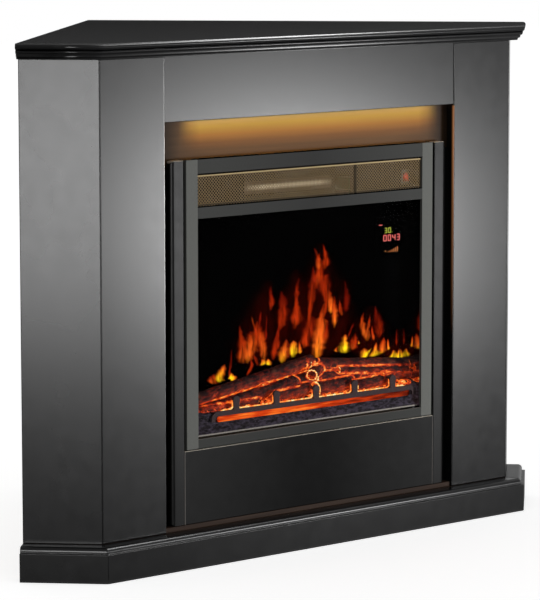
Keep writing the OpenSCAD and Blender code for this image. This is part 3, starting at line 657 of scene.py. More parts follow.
def flame_light():
    """The flames' picture on the screen: light alone, thinning out at the rim."""
    paint, tree, shader = finish("flame_light", BLACK, 1.0, spec=0.0)
    stops = (
        (0.0, (0.08, 0.002, 0.0005)),
        (0.25, (0.24, 0.009, 0.002)),
        (0.45, (0.62, 0.040, 0.004)),
        (0.65, (1.0, 0.15, 0.014)),
        (0.82, (1.0, 0.34, 0.010)),
        (1.0, (1.0, 0.62, 0.010)),
    )
    warmth = attribute(tree, "warmth")
    wisp = grain(tree, coords(tree, (110, 20, 30)), 1.0, 3, 0.5)
    set_inputs(
        tree,
        shader,
        Emission_Color=colours(tree, warmth, stops),
        Emission_Strength=between(tree, warmth, 1.2, 2.1, 0.6, 0.95),
        Alpha=product(tree, attribute(tree, "thinning"), between(tree, wisp, 0.30, 1.15, 0.36, 0.62)),
    )
    return paint


def tray_resin():
    """The dark moulded coal front of the tray, with painted light over the upright's shadow on it."""
    paint, tree, shader = finish("tray_resin", (0.006, 0.006, 0.008), 0.7, spec=0.06)
    where = coords(tree, (0.6, 1, 1.3))
    lumps = product(tree, cells(tree, where, 210), 0.35)
    broad = grain(tree, where, 120, 5)
    mixed = math_of(tree, "ADD", lumps, product(tree, broad, 0.8))
    stops = [(0.3, (0.006, 0.005, 0.006)), (0.5, (0.022, 0.017, 0.021)), (0.72, (0.070, 0.056, 0.080))]
    shade = colours(tree, mixed, stops)
    relief(tree, shader, broad, 0.7, 0.0016)
    set_inputs(
        tree,
        shader,
        Base_Color=shade,
        # painted light: a faint glow filling the upright's shadow at the right end
        Emission_Color=blend_of(tree, broad, shade, (0.04, 0.012, 0.008)),
        Emission_Strength=between(tree, axes(tree)[0], 0.0, 0.55, 0.255, 0.266),
    )
    return paint


def circuit_board():
    paint, tree, shader = finish("circuit_board", (0.02, 0.10, 0.05), 0.4)
    tracks = cells(tree, coords(tree), 240, "DISTANCE_TO_EDGE")
    stops = [(0.03, (0.03, 0.16, 0.07)), (0.10, (0.015, 0.075, 0.035))]
    set_inputs(tree, shader, Base_Color=colours(tree, tracks, stops))
    relief(tree, shader, tracks, 0.1, 0.0002)
    return paint


def all_finishes():
    """Every finish by the name of its slot, or by its own name where pieces of one slot differ."""
    made = {
        "graphite_lacquer": graphite_lacquer()[0],
        "pilaster_lacquer": pilaster_lacquer(),
        "plinth_end_lacquer": plinth_end_lacquer(),
        # the last figures give each board's painted sheen, which changes with the distance from the middle
        "strip_lacquer": liner_lacquer("strip_lacquer", 0.004, 0.36, (0.322, 0.343, 0.06, 0.015), 1.0),
        "liner_lacquer": liner_lacquer("liner_lacquer", 0.0016, 0.5, (0.04, 0.30, 0.022, 0.058), LOWER_EDGE),
        "niche_lacquer": niche_lacquer(),
        "brown_lacquer": brown_lacquer(),
        "raw_board": raw_board(),
        "light_lamps": lit_finish("light_lamps", (0.9, 0.8, 0.5), (1.0, 0.50, 0.13), 2.0),
        "light_diffuser": lit_finish("light_diffuser", (0.9, 0.8, 0.6), (1.0, 0.48, 0.12), 1.6),
        "frame_coat": powder_coat("frame_coat", (0.078, 0.080, 0.073)),
        # the last colour is the upper faces': painted shade on the upper rails, a painted highlight on the
        # bottom rail
        "rail_coat": rail_coat("rail_coat", (0.020, 0.0206, 0.0188), (0.0015, 0.0014, 0.0013)),
        "lower_rail_coat": rail_coat("lower_rail_coat", (0.0165, 0.017, 0.0152), (0.22, 0.20, 0.18)),
        "grille_rim_coat": rim_coat(),
        "front_glass": front_glass(),
        "smoked_screen": smoked_screen(),
        "ember_resin": tray_resin(),
        "glowing_ember": glowing_ember(),
        "slot_light": slot_light(),
        "log_resin": log_bark(),
        "flame_light": flame_light(),
        "circuit_board": circuit_board(),
        "heater_ceramic": heater_ceramic(),
        "red_plastic": lit_rocker(),
    }
    for name, *look in (
        ("zinc_steel", (0.62, 0.62, 0.60), 0.32, 120),
        ("light_channel", (0.70, 0.70, 0.70), 0.35),
        ("bright_metal", (0.72, 0.72, 0.72), 0.22, 90),
        ("bearing_steel", (0.55, 0.54, 0.52), 0.3),
        ("motor_case", (0.45, 0.44, 0.42), 0.4),
        ("side_mirror", (0.55, 0.55, 0.55), 0.02, 60, 0.0, 1.0, 0.5, 0.04),
        ("grille_mesh", (0.160, 0.108, 0.050), 0.6, 500, 0.03, 0.0, 0.1),
        # painted shade: a near-black finish for the steel inside the heater bay, behind the grille
        ("dull_steel", (0.004, 0.0036, 0.003), 0.6, 300, 0.05, 0.0, 0.01),
    ):
        made[name] = metal_finish(name, *look)
    for name, *look in (
        ("glass_seal", (0.40, 0.36, 0.32), 0.6, 500, 0.06, 0.1),
        ("casing_coat", (0.006, 0.006, 0.0062), 0.6, 800, 0.06, 0.03),
        ("display_black", (0.0006, 0.0006, 0.0006), 0.5, 500, 0.06, 0.004),
        ("grate_iron", (0.075, 0.050, 0.052), 0.7, 400, 0.4, 0.04),
        ("black_plastic", (0.012, 0.012, 0.012), 0.45),
    ):
        made[name] = plastic_finish(name, *look)
    for name, glow, strength in (
        ("red_digits", (1.0, 0.012, 0.012), 0.85),
        ("red_digit_cores", (1.0, 0.30, 0.27), 1.9),
        ("green_digits", (0.62, 0.70, 0.06), 1.25),
        ("amber_digits", (1.0, 0.33, 0.09), 1.2),
    ):
        made[name] = digit_light(name, glow, strength)
    return made


FINISHES = all_finishes()


# finishes that differ from their slot's name in the record
NODE_FINISH = {
    "base_board": "brown_lacquer",
    # near black: painted shade on the heater bay's parts behind the grille
    "heater_duct": "dull_steel",
    "fan_wheel": "dull_steel",
    "fan_motor": "dull_steel",
}


def dress_nodes():
    for name, node in NODES.items():
        node.data.materials.clear()
        node.data.materials.append(FINISHES[NODE_FINISH.get(name, SLOT_OF[name])])


dress_nodes()

# ---------------------------------------------------------------- pieces


def new_piece(name, mesh, slot, body, *stands_for, finish_name=None):
    piece = added(name, mesh)
    mesh.materials.clear()
    mesh.materials.append(FINISHES[finish_name or slot])
    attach(piece, body)
    if stands_for:
        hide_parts(*stands_for)
    return piece


def merged_copy(node):
    """A node's mesh with its loose triangles joined and its flat faces made whole."""
    mesh = NODES[node].data.copy()
    own_normals = mesh.attributes.get("custom_normal")
    if own_normals:
        mesh.attributes.remove(own_normals)
    shape = bmesh.new()
    shape.from_mesh(mesh)
    bmesh.ops.remove_doubles(shape, verts=shape.verts, dist=1e-6)
    bmesh.ops.dissolve_limit(shape, angle_limit=math.radians(0.4), verts=shape.verts, edges=shape.edges)
    shape.to_mesh(mesh)
    shape.free()
    return mesh


def mesh_from(holder, name):
    """What an object's modifiers make of it. The object itself goes."""
    depsgraph = bpy.context.evaluated_depsgraph_get()
    depsgraph.update()
    mesh = bpy.data.meshes.new_from_object(holder.evaluated_get(depsgraph), depsgraph=depsgraph)
    bpy.data.objects.remove(holder)
    mesh.name = name
    return mesh


def evaluated(mesh, name, *modifiers):
    """The mesh after its modifiers, as a plain mesh."""
    holder = added(name + "_draft", mesh)
    for kind, values in modifiers:
        made = holder.modifiers.new(kind.lower(), kind)
        for key, value in values.items():
            setattr(made, key, value)
    return mesh_from(holder, name)


# an edge is eased where its faces turn by more than this
SHARP = math.radians(38)


def broad_edges(mesh, rule):
    """Marks how far each sharp edge is eased, as a share of the radius."""
    shape = bmesh.new()
    shape.from_mesh(mesh)
    layer = shape.edges.layers.float.new("bevel_weight_edge")
    for edge in shape.edges:
        if len(edge.link_faces) == 2 and edge.calc_face_angle() > SHARP:
            edge[layer] = rule((edge.verts[0].co + edge.verts[1].co) / 2)
    shape.to_mesh(mesh)
    shape.free()


def eased(node, name, radius, steps=3, finish_name=None, rule=None):
    """The node's shape with its sharp edges eased, as a sanded and sprayed board has them."""
    mesh = merged_copy(node)
    for face in mesh.polygons:
        face.use_smooth = True
    bevel = {
        "width": radius / 1000,
        "segments": steps,
        "limit_method": "ANGLE",
        "angle_limit": SHARP,
        "use_clamp_overlap": True,
    }
    if rule:
        broad_edges(mesh, rule)
        bevel["limit_method"] = "WEIGHT"
    # a bevel can leave edges of no length
    weld = {"merge_threshold": 0.00002}
    # the flat faces keep their own normals, and only the eased edges turn
    flat = {"mode": "FACE_AREA", "weight": 60}
    done = evaluated(mesh, name, ("BEVEL", bevel), ("WELD", weld), ("WEIGHTED_NORMAL", flat))
    return new_piece(name, done, SLOT_OF[node], BODY_OF[node], node, finish_name=finish_name)


def broad_outside(place):
    """The strips' outer edges are eased in full, their edges by the fire much less."""
    return 1.0 if abs(place.x) > 0.326 else 0.23


def mantel_boards():
    for side in ("left", "right"):
        eased(side + "_pilaster", "pilaster_" + side, 2.4, finish_name="pilaster_lacquer")
    for node, name, radius in (
        ("top_board", "moulded_top", 0.9),
        ("left_side_panel", "return_left", 1.6),
        ("right_side_panel", "return_right", 1.6),
        ("header_panel", "header_over_niche", 1.4),
        ("plinth_front", "plinth_moulding_front", 0.9),
        ("plinth_left", "plinth_moulding_left", 0.9),
    ):
        eased(node, name, radius)
    eased("plinth_right", "plinth_moulding_right", 0.9, finish_name="plinth_end_lacquer")
    eased("niche_panel", "niche_back", 1.0, finish_name="niche_lacquer")
    eased("side_strips", "liner_strips", 7.0, 6, "strip_lacquer", broad_outside)
    eased("lower_panel", "liner_below_fire", 1.6, finish_name="liner_lacquer")
    eased("foot_strip", "foot_strip_brown", 1.0)


def fire_frame():
    eased("left_stile", "frame_upright_left", 0.5, 2)
    eased("right_stile", "frame_upright_right", 0.5, 2)
    for node in ("top_rail", "middle_rail"):
        eased(node, "frame_" + node, 0.5, 2, finish_name="rail_coat")
    eased("bottom_rail", "frame_bottom_rail", 0.5, 2, finish_name="lower_rail_coat")


def lower_seal():
    """The pale seal on the fire's base, along the lower edge of the glass."""
    seal = box_mesh("glass_seal_below", at(-271, 14.7, 228.2), at(271, 15.6, 230.8))
    new_piece("glass_seal_below", seal, "display_black", "mantel", finish_name="glass_seal")


# ---- niche light


def niche_glow():
    """The lamp strip's light: a thin line under the header, one centimetre before the niche's back."""
    lamp = area_lamp("niche_line", 0.598, 0.008, 1.0)
    lamp.location = at(12.5, 13, 803.5)
    tree = emptied(lamp.data)
    falloff = shader_node(tree, "LightFalloff", Strength=40.0)
    line = shader_node(tree, "Emission", Color=(1.0, 0.52, 0.09), Strength=falloff.outputs["Linear"])
    shader_node(tree, "OutputLight", Surface=line.outputs[0])
    boards = [bpy.data.objects[name] for name in ("niche_back", "header_over_niche")]
    lamp.light_linking.receiver_collection = group_of("lit_by_niche_line", boards)


# ---- perforated sheets


def geometry_tree(name, floats, whole):
    """A Geometry Nodes tree with these inputs and a finish. Gives the tree and the inputs' sockets."""
    tree = bpy.data.node_groups.new(name, "GeometryNodeTree")
    face = tree.interface
    face.new_socket(name="Geometry", in_out="OUTPUT", socket_type="NodeSocketGeometry")
    for item in floats:
        face.new_socket(name=item, in_out="INPUT", socket_type="NodeSocketFloat")
    face.new_socket(name=whole, in_out="INPUT", socket_type="NodeSocketInt")
    face.new_socket(name="Finish", in_out="INPUT", socket_type="NodeSocketMaterial")
    return tree, tree.nodes.new("NodeGroupInput").outputs


def perforated_tree():
    """A sheet of small square holes set cornerwise, cut to a rectangle and given its thickness."""
    floats = ("Width", "Height", "Hole pitch", "Open share", "Thickness")
    tree, given = geometry_tree("perforated_sheet", floats, "Rows")
    add = tree.nodes.new
    side = product(tree, math_of(tree, "SUBTRACT", given["Rows"], 1), given["Hole pitch"])
    grid = add("GeometryNodeMeshGrid")
    set_inputs(tree, grid, Vertices_X=given["Rows"], Vertices_Y=given["Rows"], Size_X=side, Size_Y=side)
    turn = add("GeometryNodeTransform")
    turn.inputs["Rotation"].default_value = (0, 0, math.radians(45))
    where = add("GeometryNodeInputPosition")
    split = add("ShaderNodeSeparateXYZ")
    tree.links.new(where.outputs[0], split.inputs[0])
    outside = []
    for axis, size in (("X", "Width"), ("Y", "Height")):
        double = product(tree, away_from(tree, split.outputs[axis]), 2)
        outside.append(math_of(tree, "GREATER_THAN", double, given[size]))
    cut = add("GeometryNodeDeleteGeometry")
    cut.domain = "FACE"
    holes = add("GeometryNodeExtrudeMesh")
    holes.mode = "FACES"
    holes.inputs["Individual"].default_value = True
    holes.inputs["Offset Scale"].default_value = 0
    shrink = add("GeometryNodeScaleElements")
    shrink.domain = "FACE"
    punch = add("GeometryNodeDeleteGeometry")
    punch.domain = "FACE"
    thick = add("GeometryNodeExtrudeMesh")
    thick.mode = "FACES"
    thick.inputs["Individual"].default_value = False
    back = add("GeometryNodeFlipFaces")
    both = add("GeometryNodeJoinGeometry")
    weld = add("GeometryNodeMergeByDistance")
    weld.inputs["Distance"].default_value = 0.000001
    real = add("GeometryNodeRealizeInstances")
    paint = add("GeometryNodeSetMaterial")
    out = add("NodeGroupOutput")
    join_up(
        tree,
        (grid.outputs["Mesh"], turn.inputs["Geometry"]),
        (turn.outputs[0], cut.inputs["Geometry"]),
        (math_of(tree, "MAXIMUM", *outside), cut.inputs["Selection"]),
        (cut.outputs[0], holes.inputs["Mesh"]),
        (holes.outputs["Mesh"], shrink.inputs["Geometry"]),
        (holes.outputs["Top"], shrink.inputs["Selection"]),
        (given["Open share"], shrink.inputs["Scale"]),
        (shrink.outputs[0], punch.inputs["Geometry"]),
        (holes.outputs["Top"], punch.inputs["Selection"]),
        (punch.outputs[0], thick.inputs["Mesh"]),
        (given["Thickness"], thick.inputs["Offset Scale"]),
        (punch.outputs[0], back.inputs[0]),
        (thick.outputs["Mesh"], both.inputs[0]),
        (back.outputs[0], both.inputs[0]),
        (both.outputs[0], weld.inputs["Geometry"]),
        (weld.outputs[0], real.inputs[0]),
        (real.outputs[0], paint.inputs["Geometry"]),
        (given["Finish"], paint.inputs["Material"]),
        (paint.outputs[0], out.inputs[0]),
    )
    return tree


def made_by(tree, name, inputs):
    """What a Geometry Nodes tree makes from these inputs, as a plain mesh."""
    holder = added(name + "_draft", bpy.data.meshes.new(name))
    modifier = holder.modifiers.new("shape", "NODES")
    modifier.node_group = tree
    for item in tree.interface.items_tree:
        if item.in_out == "INPUT" and item.name in inputs:
            modifier[item.identifier] = inputs[item.name]
    holder.update_tag()
    return mesh_from(holder, name)


def box_mesh(name, low, high):
    mesh = bpy.data.meshes.new(name)
    shape = bmesh.new()
    bmesh.ops.create_cube(shape, size=1)
    shape.to_mesh(mesh)
    shape.free()
    middle = (Vector(low) + Vector(high)) / 2
    size = Vector(high) - Vector(low)
    mesh.transform(Matrix.Translation(middle) @ Matrix.Diagonal((*size, 1)))
    return mesh


# the sheets: their lower and upper edge, the share of that height which leaves a gap under the rail,
# their thickness, the solid rim round the holes, and the distance from hole to hole
SHEET_Z = (0.650, 0.7065)
SHEET_SHARE = 0.965
SHEET_THICK = 0.0015
RIM = 0.002
HOLE_PITCH = 0.0064


def perforated(node, name, tree):
    """A folded sheet: the CAD shape with a window cut in its face, and the punched field in it."""
    low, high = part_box(node)
    face = low.y
    lower, upper = SHEET_Z
    first = (low.x + RIM, face - 0.01, lower + RIM)
    last = (high.x - RIM, face + SHEET_THICK + 0.0001, upper - RIM)
    window = added(name + "_window", box_mesh(name, first, last))
    cut = {"object": window, "operation": "DIFFERENCE", "solver": "EXACT"}
    rim = evaluated(merged_copy(node), name + "_rim", ("BOOLEAN", cut))
    bpy.data.objects.remove(window)
    for vertex in rim.vertices:
        vertex.co.z = lower + (vertex.co.z - lower) * SHEET_SHARE
    rim.shade_flat()
    new_piece(name + "_rim", rim, SLOT_OF[node], BODY_OF[node], node, finish_name="grille_rim_coat")
    width = high.x - low.x - 2 * RIM
    height = (upper - lower) * SHEET_SHARE - 2 * RIM
    cell = HOLE_PITCH / math.sqrt(2)
    inputs = {
        "Width": width + 0.5 * cell,
        "Height": height + 0.5 * cell,
        "Hole pitch": cell,
        "Open share": 0.74,
        "Thickness": 0.3 * SHEET_THICK,
        "Rows": int((width + height) / math.sqrt(2) / cell) + 4,
        "Finish": FINISHES[SLOT_OF[node]],
    }
    field = made_by(tree, name + "_field", inputs)
    middle = Vector(((low.x + high.x) / 2, face + 0.9 * SHEET_THICK, lower + RIM + height / 2))
    field.transform(Matrix.Translation(middle) @ Matrix.Rotation(math.radians(90), 4, "X"))
    new_piece(name + "_field", field, SLOT_OF[node], BODY_OF[node], node)


def vent_gauze():
    """A dark sheet inside the rear vents of the heater bay: painted shade where the room would show through.
    """
    mesh = box_mesh("vent_gauze", at(-275, 202.2, 646), at(275, 203.2, 712))
    new_piece("vent_gauze", mesh, "casing_coat", "mantel")


def perforated_sheets():
    tree = perforated_tree()
    perforated("heater_grille", "grille", tree)
    perforated("control_door", "door", tree)


# ---- the fire: logs, embers and flames


def mm(point):
    """A point in millimetres from the pilasters' face, as metres in the frame."""
    return at(*point)


def among(u, v, w):
    """A place among the logs: shares of the casing's width, the bed's depth and the highest log."""
    return Vector(((2 * u - 1) * 275, 22 + 50 * v, 253.7 + 79 * w))


# each log: its name, its first and last end among the logs, and its radius at each
LOGS = (
    ("log_rear_left", (-0.0076, 0.66, 0.34), (0.574, 0.68, 1), 14, 14),
    ("log_rear_right", (0.549, 0.66, 0.91), (1.0076, 0.68, 0.62), 15, 14),
    ("log_front_left", (-0.0076, 0.38, 0.12), (0.473, 0.4, 0.58), 12, 14),
    ("log_end_on", (0.531, 0.12, 0.73), (0.622, 0.76, 0.86), 12, 12),
    ("log_short_left", (0.374, 0.32, 0.34), (0.534, 0.32, 0.4), 14, 13),
    ("log_short_middle", (0.567, 0.38, 0.35), (0.716, 0.38, 0.4), 16, 15),
    ("log_short_right", (0.738, 0.32, 0.3), (0.906, 0.36, 0.38), 13, 12),
    ("log_right_end", (0.869, 0.48, 0.48), (1.0076, 0.56, 0.4), 13, 12),
    ("log_upper_right", (0.673, 0.48, 0.73), (0.993, 0.44, 0.53), 10, 9),
    ("log_behind_left", (0.34, 0.62, 0.5), (0.56, 0.6, 0.6), 15, 15),
    ("log_behind_right", (0.575, 0.62, 0.62), (1.0, 0.62, 0.42), 17, 15),
    ("log_low_left", (0.06, 0.26, 0.2), (0.3, 0.3, 0.3), 9, 10),
)


# logs that glow less than the others
COOLER = {"log_low_left": 0.58, "log_right_end": 0.8}


# the top of the grate's bar, and the rise and run of the bed of coals behind it
BAR_TOP = 269.2
BED_SLOPE = (14, 42)


def bed_height(y):
    """How high the bed of coals is at a depth."""
    if y < 30:
        return 266.2 + 3 * max(0.0, y - 22) / 8
    rise, run = BED_SLOPE
    return BAR_TOP + rise * (y - 30) / run


LOG_AXES = [(name, among(*first), among(*last), (r0 + r1) / 2) for name, first, last, r0, r1 in LOGS]


def near(value, reach):
    """1 where the value is nothing, down to 0 where it has come to the reach."""
    return held(1 - value / reach)


def to_axis(point, start, end):
    along = end - start
    share = held((point - start).dot(along) / along.length_squared)
    return (point - start - share * along).length


def touching(point, own):
    """How close a place on one log is to another log or to the bed, from 0 to 1."""
    best = near(point.z - bed_height(point.y), 5)
    for name, first, last, radius in LOG_AXES:
        beside = name == own or point.x < first.x - 30 or point.x > last.x + 30
        if not beside:
            best = max(best, near(abs(to_axis(point, first, last) - radius), 3.2))
    return best


def bark(name, first, last, r0, r1, seed):
    """A resin log: bark plates with cracks between them, a sawn face at each end."""
    start = among(*first)
    end = among(*last)
    axis = (end - start).normalized()
    length = (end - start).length
    side = axis.cross(Vector((0, 0, 1))).normalized()
    up = side.cross(axis)
    rings = max(8, int(length / 1.7))
    around = 52
    ends = [(0.0, 0.12), (0.0, 0.4), (0.1, 0.66), (0.4, 0.84), (1.3, 0.95)]
    stations = list(ends)
    stations += [(1.3 + (length - 2.6) * i / rings, 1.0) for i in range(rings + 1)]
    stations += [(length - d, share) for d, share in reversed(ends)]
    verts = []
    heats = []
    for along, share in stations:
        radius = r0 + (r1 - r0) * along / length
        for j in range(around):
            angle = 2 * math.pi * j / around
            spoke = math.cos(angle) * side + math.sin(angle) * up
            turned = share * math.cos(angle) * radius / 6
            raised = share * math.sin(angle) * radius / 6
            q = Vector((along / 15, turned, raised))
            q += Vector((seed * 7.3, seed * 3.1, seed * 5.7))
            gaps = noise.voronoi(q)[0]
            crack = near(gaps[1] - gaps[0], 0.24)
            lump = noise.noise(0.45 * q)
            fine = noise.noise(2.6 * q)
            reach = share * (radius * (0.96 + 0.08 * lump) - 1.5 * crack + 0.5 * fine)
            point = start + along * axis + reach * spoke
            place = 0.5 + 1.1 * noise.noise(point / 26 + Vector((seed, 0, 0)))
            lower = held(0.66 - 0.9 * spoke.z + 0.6 * lump, 0.42)
            glow = crack * held(place, 0.10) * lower
            under = held(0.5 - 0.8 * spoke.z + 0.9 * noise.noise(1.3 * q))
            edge = near(abs(spoke.z * 0.6 + spoke.y * 0.8 - 0.93), 0.05) * held(0.3 + 1.2 * fine)
            rim = 1.25 if share in (0.84, 0.95) else 0.0
            lick = touching(point, name) * held(0.8 + 0.7 * noise.noise(point / 11), 0.35)
            heat = max(0.78 * glow, 0.92 * lick, 0.75 * edge, rim * (0.7 + 0.5 * fine))
            heat = max(heat, 0.06 + 0.30 * under)
            heat *= 1 - 0.42 * held((abs(point.x) - 205) / 45)
            heat *= COOLER.get(name, 1.0)
            verts.append(mm(point))
            heats.append(heat)
    return shaped(name, verts, ring_faces(len(stations), around), warmth=heats)


def ring_faces(rings, around):
    """Faces from each ring of points to the next, and one to close each end."""
    faces = []
    for i in range(rings - 1):
        for j in range(around):
            k = (j + 1) % around
            faces.append((i * around + j, i * around + k, (i + 1) * around + k, (i + 1) * around + j))
    faces.append(tuple(reversed(range(around))))
    last = (rings - 1) * around
    faces.append(tuple(range(last, last + around)))
    return faces


def number_points(mesh, name, values):
    made = mesh.attributes.new(name, "FLOAT", "POINT")
    made.data.foreach_set("value", values)


def shaped(name, verts, faces, **attributes):
    """A smooth mesh with outward faces and its numbers per point."""
    mesh = bpy.data.meshes.new(name)
    mesh.from_pydata([tuple(v) for v in verts], [], faces)
    shape = bmesh.new()
    shape.from_mesh(mesh)
    bmesh.ops.recalc_face_normals(shape, faces=shape.faces)
    shape.to_mesh(mesh)
    shape.free()
    mesh.shade_smooth()
    for key, values in attributes.items():
        number_points(mesh, key, values)
    return mesh


def logs():
    for seed, (name, first, last, r0, r1) in enumerate(LOGS, 1):
        mesh = bark(name, first, last, r0, r1, seed)
        new_piece(name, mesh, "log_resin", "mantel", "log_set")


def tube(path, radius, heat_of, around=8, wobble=0.25):
    """Points, faces and heats of a tube along a path, closed at both ends."""
    verts = []
    heats = []
    for i, point in enumerate(path):
        ahead = path[min(i + 1, len(path) - 1)] - path[max(i - 1, 0)]
        ahead.normalize()
        side = ahead.cross(Vector((0, 1, 0))).normalized()
        other = side.cross(ahead)
        close = 0.35 if i in (0, len(path) - 1) else 1.0
        size = radius * close * (1 + wobble * noise.noise(point / 5))
        for j in range(around):
            angle = 2 * math.pi * j / around
            verts.append(point + size * (math.cos(angle) * side + math.sin(angle) * other))
            heats.append(heat_of(point))
    return verts, ring_faces(len(path), around), heats


def along_points(corners, step=2.0):
    path = []
    for a, b in zip(corners, corners[1:]):
        count = max(1, int((b - a).length / step))
        path += [a + (b - a) * i / count for i in range(count)]
    path.append(corners[-1])
    return path


# the middle of each of the grate's prongs
PRONGS = (-173, -77, 19, 115, 211)


def ember_edges():
    """Lines of ember light that lick the grate's bar and the sides of its prongs."""
    # from a prong's middle to the light beside it, and how high that light climbs
    clear = 6.5 + 1.0
    high = BAR_TOP + 17
    bays = [(-214, None, -173)]
    bays += [(None, a, b) for a, b in zip(PRONGS, PRONGS[1:])]
    bays += [(252, 211, None)]
    verts = []
    faces = []
    heats = []
    for loose, left, right in bays:
        if left is None:
            rise = [(loose, 21.5, BAR_TOP - 2.5), (loose + 12, 21.5, BAR_TOP + 0.8)]
        else:
            x = left + clear
            rise = [(x + 0.6, 20.5, high), (x, 20.5, BAR_TOP + 4), (x + 3.5, 21.5, BAR_TOP + 1.0)]
        if right is None:
            fall = [(loose - 14, 21.5, BAR_TOP + 0.8), (loose, 21.5, BAR_TOP - 2.5)]
        else:
            x = right - clear
            fall = [(x - 3.5, 21.5, BAR_TOP + 1.0), (x, 20.5, BAR_TOP + 4), (x - 0.6, 20.5, high)]
        corners = [Vector(corner) for corner in rise + fall]

        def heat_of(point):
            up = near(point.z - BAR_TOP - 4, 17)
            return (0.62 + 0.30 * up) * (0.9 + 0.25 * noise.noise(point / 9))

        more, rings, warm = tube(along_points(corners), 1.35, heat_of)
        faces += [tuple(i + len(verts) for i in ring) for ring in rings]
        verts += [mm(v) for v in more]
        heats += warm
    mesh = shaped("ember_edges", verts, faces, warmth=heats)
    new_piece("ember_edges", mesh, "ember_resin", "mantel", finish_name="glowing_ember")


def slot_glow():
    """The lit band in the tray's slot: a sheet of embers with dark streaks."""
    half = 241 - 5.5
    columns = 240
    rows = 8
    verts = []
    heats = []
    left = 7.5 - half
    for i in range(columns + 1):
        x = left - 5 + (half - left + 10) * i / columns
        over = max(0.0, left - x, x - half)
        tall = math.sqrt(max(0.0, 5.4**2 - over**2))
        for j in range(rows + 1):
            z = tall * (2 * j / rows - 1)
            wave = noise.noise(Vector((x / 38, z / 5, 2.0)))
            share = (x + half) / (2 * half)
            body = 0.53 + 0.07 * near(abs(share - 0.38), 0.25) - 0.46 * max(0.0, share - 0.42)
            # painted shade: the glow dims near the slot's ends, for the shade in the hole's corners
            end = near(min(x - left, half - x) + 5, 6)
            heat = body + 0.19 * wave - 0.05 * (z / 5.4) - 0.12 * end
            verts.append(mm(Vector((19 + x, 24.0 - 0.7 * wave, 253.7 + z))))
            heats.append(max(0.1, heat))
    faces = []
    for i in range(columns):
        for j in range(rows):
            a = i * (rows + 1) + j
            faces.append((a, a + rows + 1, a + rows + 2, a + 1))
    mesh = shaped("slot_embers", verts, faces, warmth=heats)
    new_piece("slot_embers", mesh, "ember_resin", "mantel", finish_name="slot_light")


def coals_tree():
    """Small lumps strewn over the bed's slope, each with its own turn and size."""
    floats = ("Width", "Depth", "Smallest", "Largest", "Coals per area")
    tree, given = geometry_tree("strewn_coals", floats, "Seed")
    add = tree.nodes.new
    slope = add("GeometryNodeMeshGrid")
    spread = add("GeometryNodeDistributePointsOnFaces")
    lump = add("GeometryNodeMeshIcoSphere")
    lump.inputs["Radius"].default_value = 1.0
    lump.inputs["Subdivisions"].default_value = 2
    turns = add("FunctionNodeRandomValue")
    turns.data_type = "FLOAT_VECTOR"
    turns.inputs["Max"].default_value = (6.28, 6.28, 6.28)
    sizes = add("FunctionNodeRandomValue")
    sizes.data_type = "FLOAT"
    place = add("GeometryNodeInstanceOnPoints")
    real = add("GeometryNodeRealizeInstances")
    paint = add("GeometryNodeSetMaterial")
    out = add("NodeGroupOutput")
    smooth = add("GeometryNodeSetShadeSmooth")
    float_in = [i for i in sizes.inputs if i.type == "VALUE" and i.name in ("Min", "Max")]
    join_up(
        tree,
        (given["Width"], slope.inputs["Size X"]),
        (given["Depth"], slope.inputs["Size Y"]),
        (slope.outputs["Mesh"], spread.inputs["Mesh"]),
        (given["Coals per area"], spread.inputs["Density"]),
        (given["Seed"], spread.inputs["Seed"]),
        (given["Seed"], turns.inputs["Seed"]),
        (given["Seed"], sizes.inputs["Seed"]),
        (given["Smallest"], float_in[0]),
        (given["Largest"], float_in[1]),
        (spread.outputs["Points"], place.inputs["Points"]),
        (lump.outputs["Mesh"], place.inputs["Instance"]),
        (turns.outputs[0], place.inputs["Rotation"]),
        ([o for o in sizes.outputs if o.type == "VALUE"][0], place.inputs["Scale"]),
        (place.outputs[0], real.inputs[0]),
        (real.outputs[0], smooth.inputs[0]),
        (smooth.outputs[0], paint.inputs["Geometry"]),
        (given["Finish"], paint.inputs["Material"]),
        (paint.outputs[0], out.inputs[0]),
    )
    return tree


def coals():
    inputs = {
        "Width": 0.548,
        "Depth": 0.038,
        "Smallest": 0.0022,
        "Largest": 0.0046,
        "Coals per area": 26000.0,
        "Seed": 11,
        "Finish": FINISHES["glowing_ember"],
    }
    mesh = made_by(coals_tree(), "bed_coals", inputs)
    mesh.transform(Matrix.Translation(at(0, 45, 274.5)) @ Matrix.Rotation(math.atan2(*BED_SLOPE), 4, "X"))
    heats = []
    for vertex in mesh.vertices:
        co = vertex.co.copy()
        push = noise.noise(co * 420)
        vertex.co += vertex.normal * 0.0007 * push
        heats.append(held(0.5 + 0.5 * noise.noise(co * 60) + 0.35 * push, 0.05))
    number_points(mesh, "warmth", heats)
    new_piece("bed_coals", mesh, "ember_resin", "mantel", finish_name="glowing_ember")


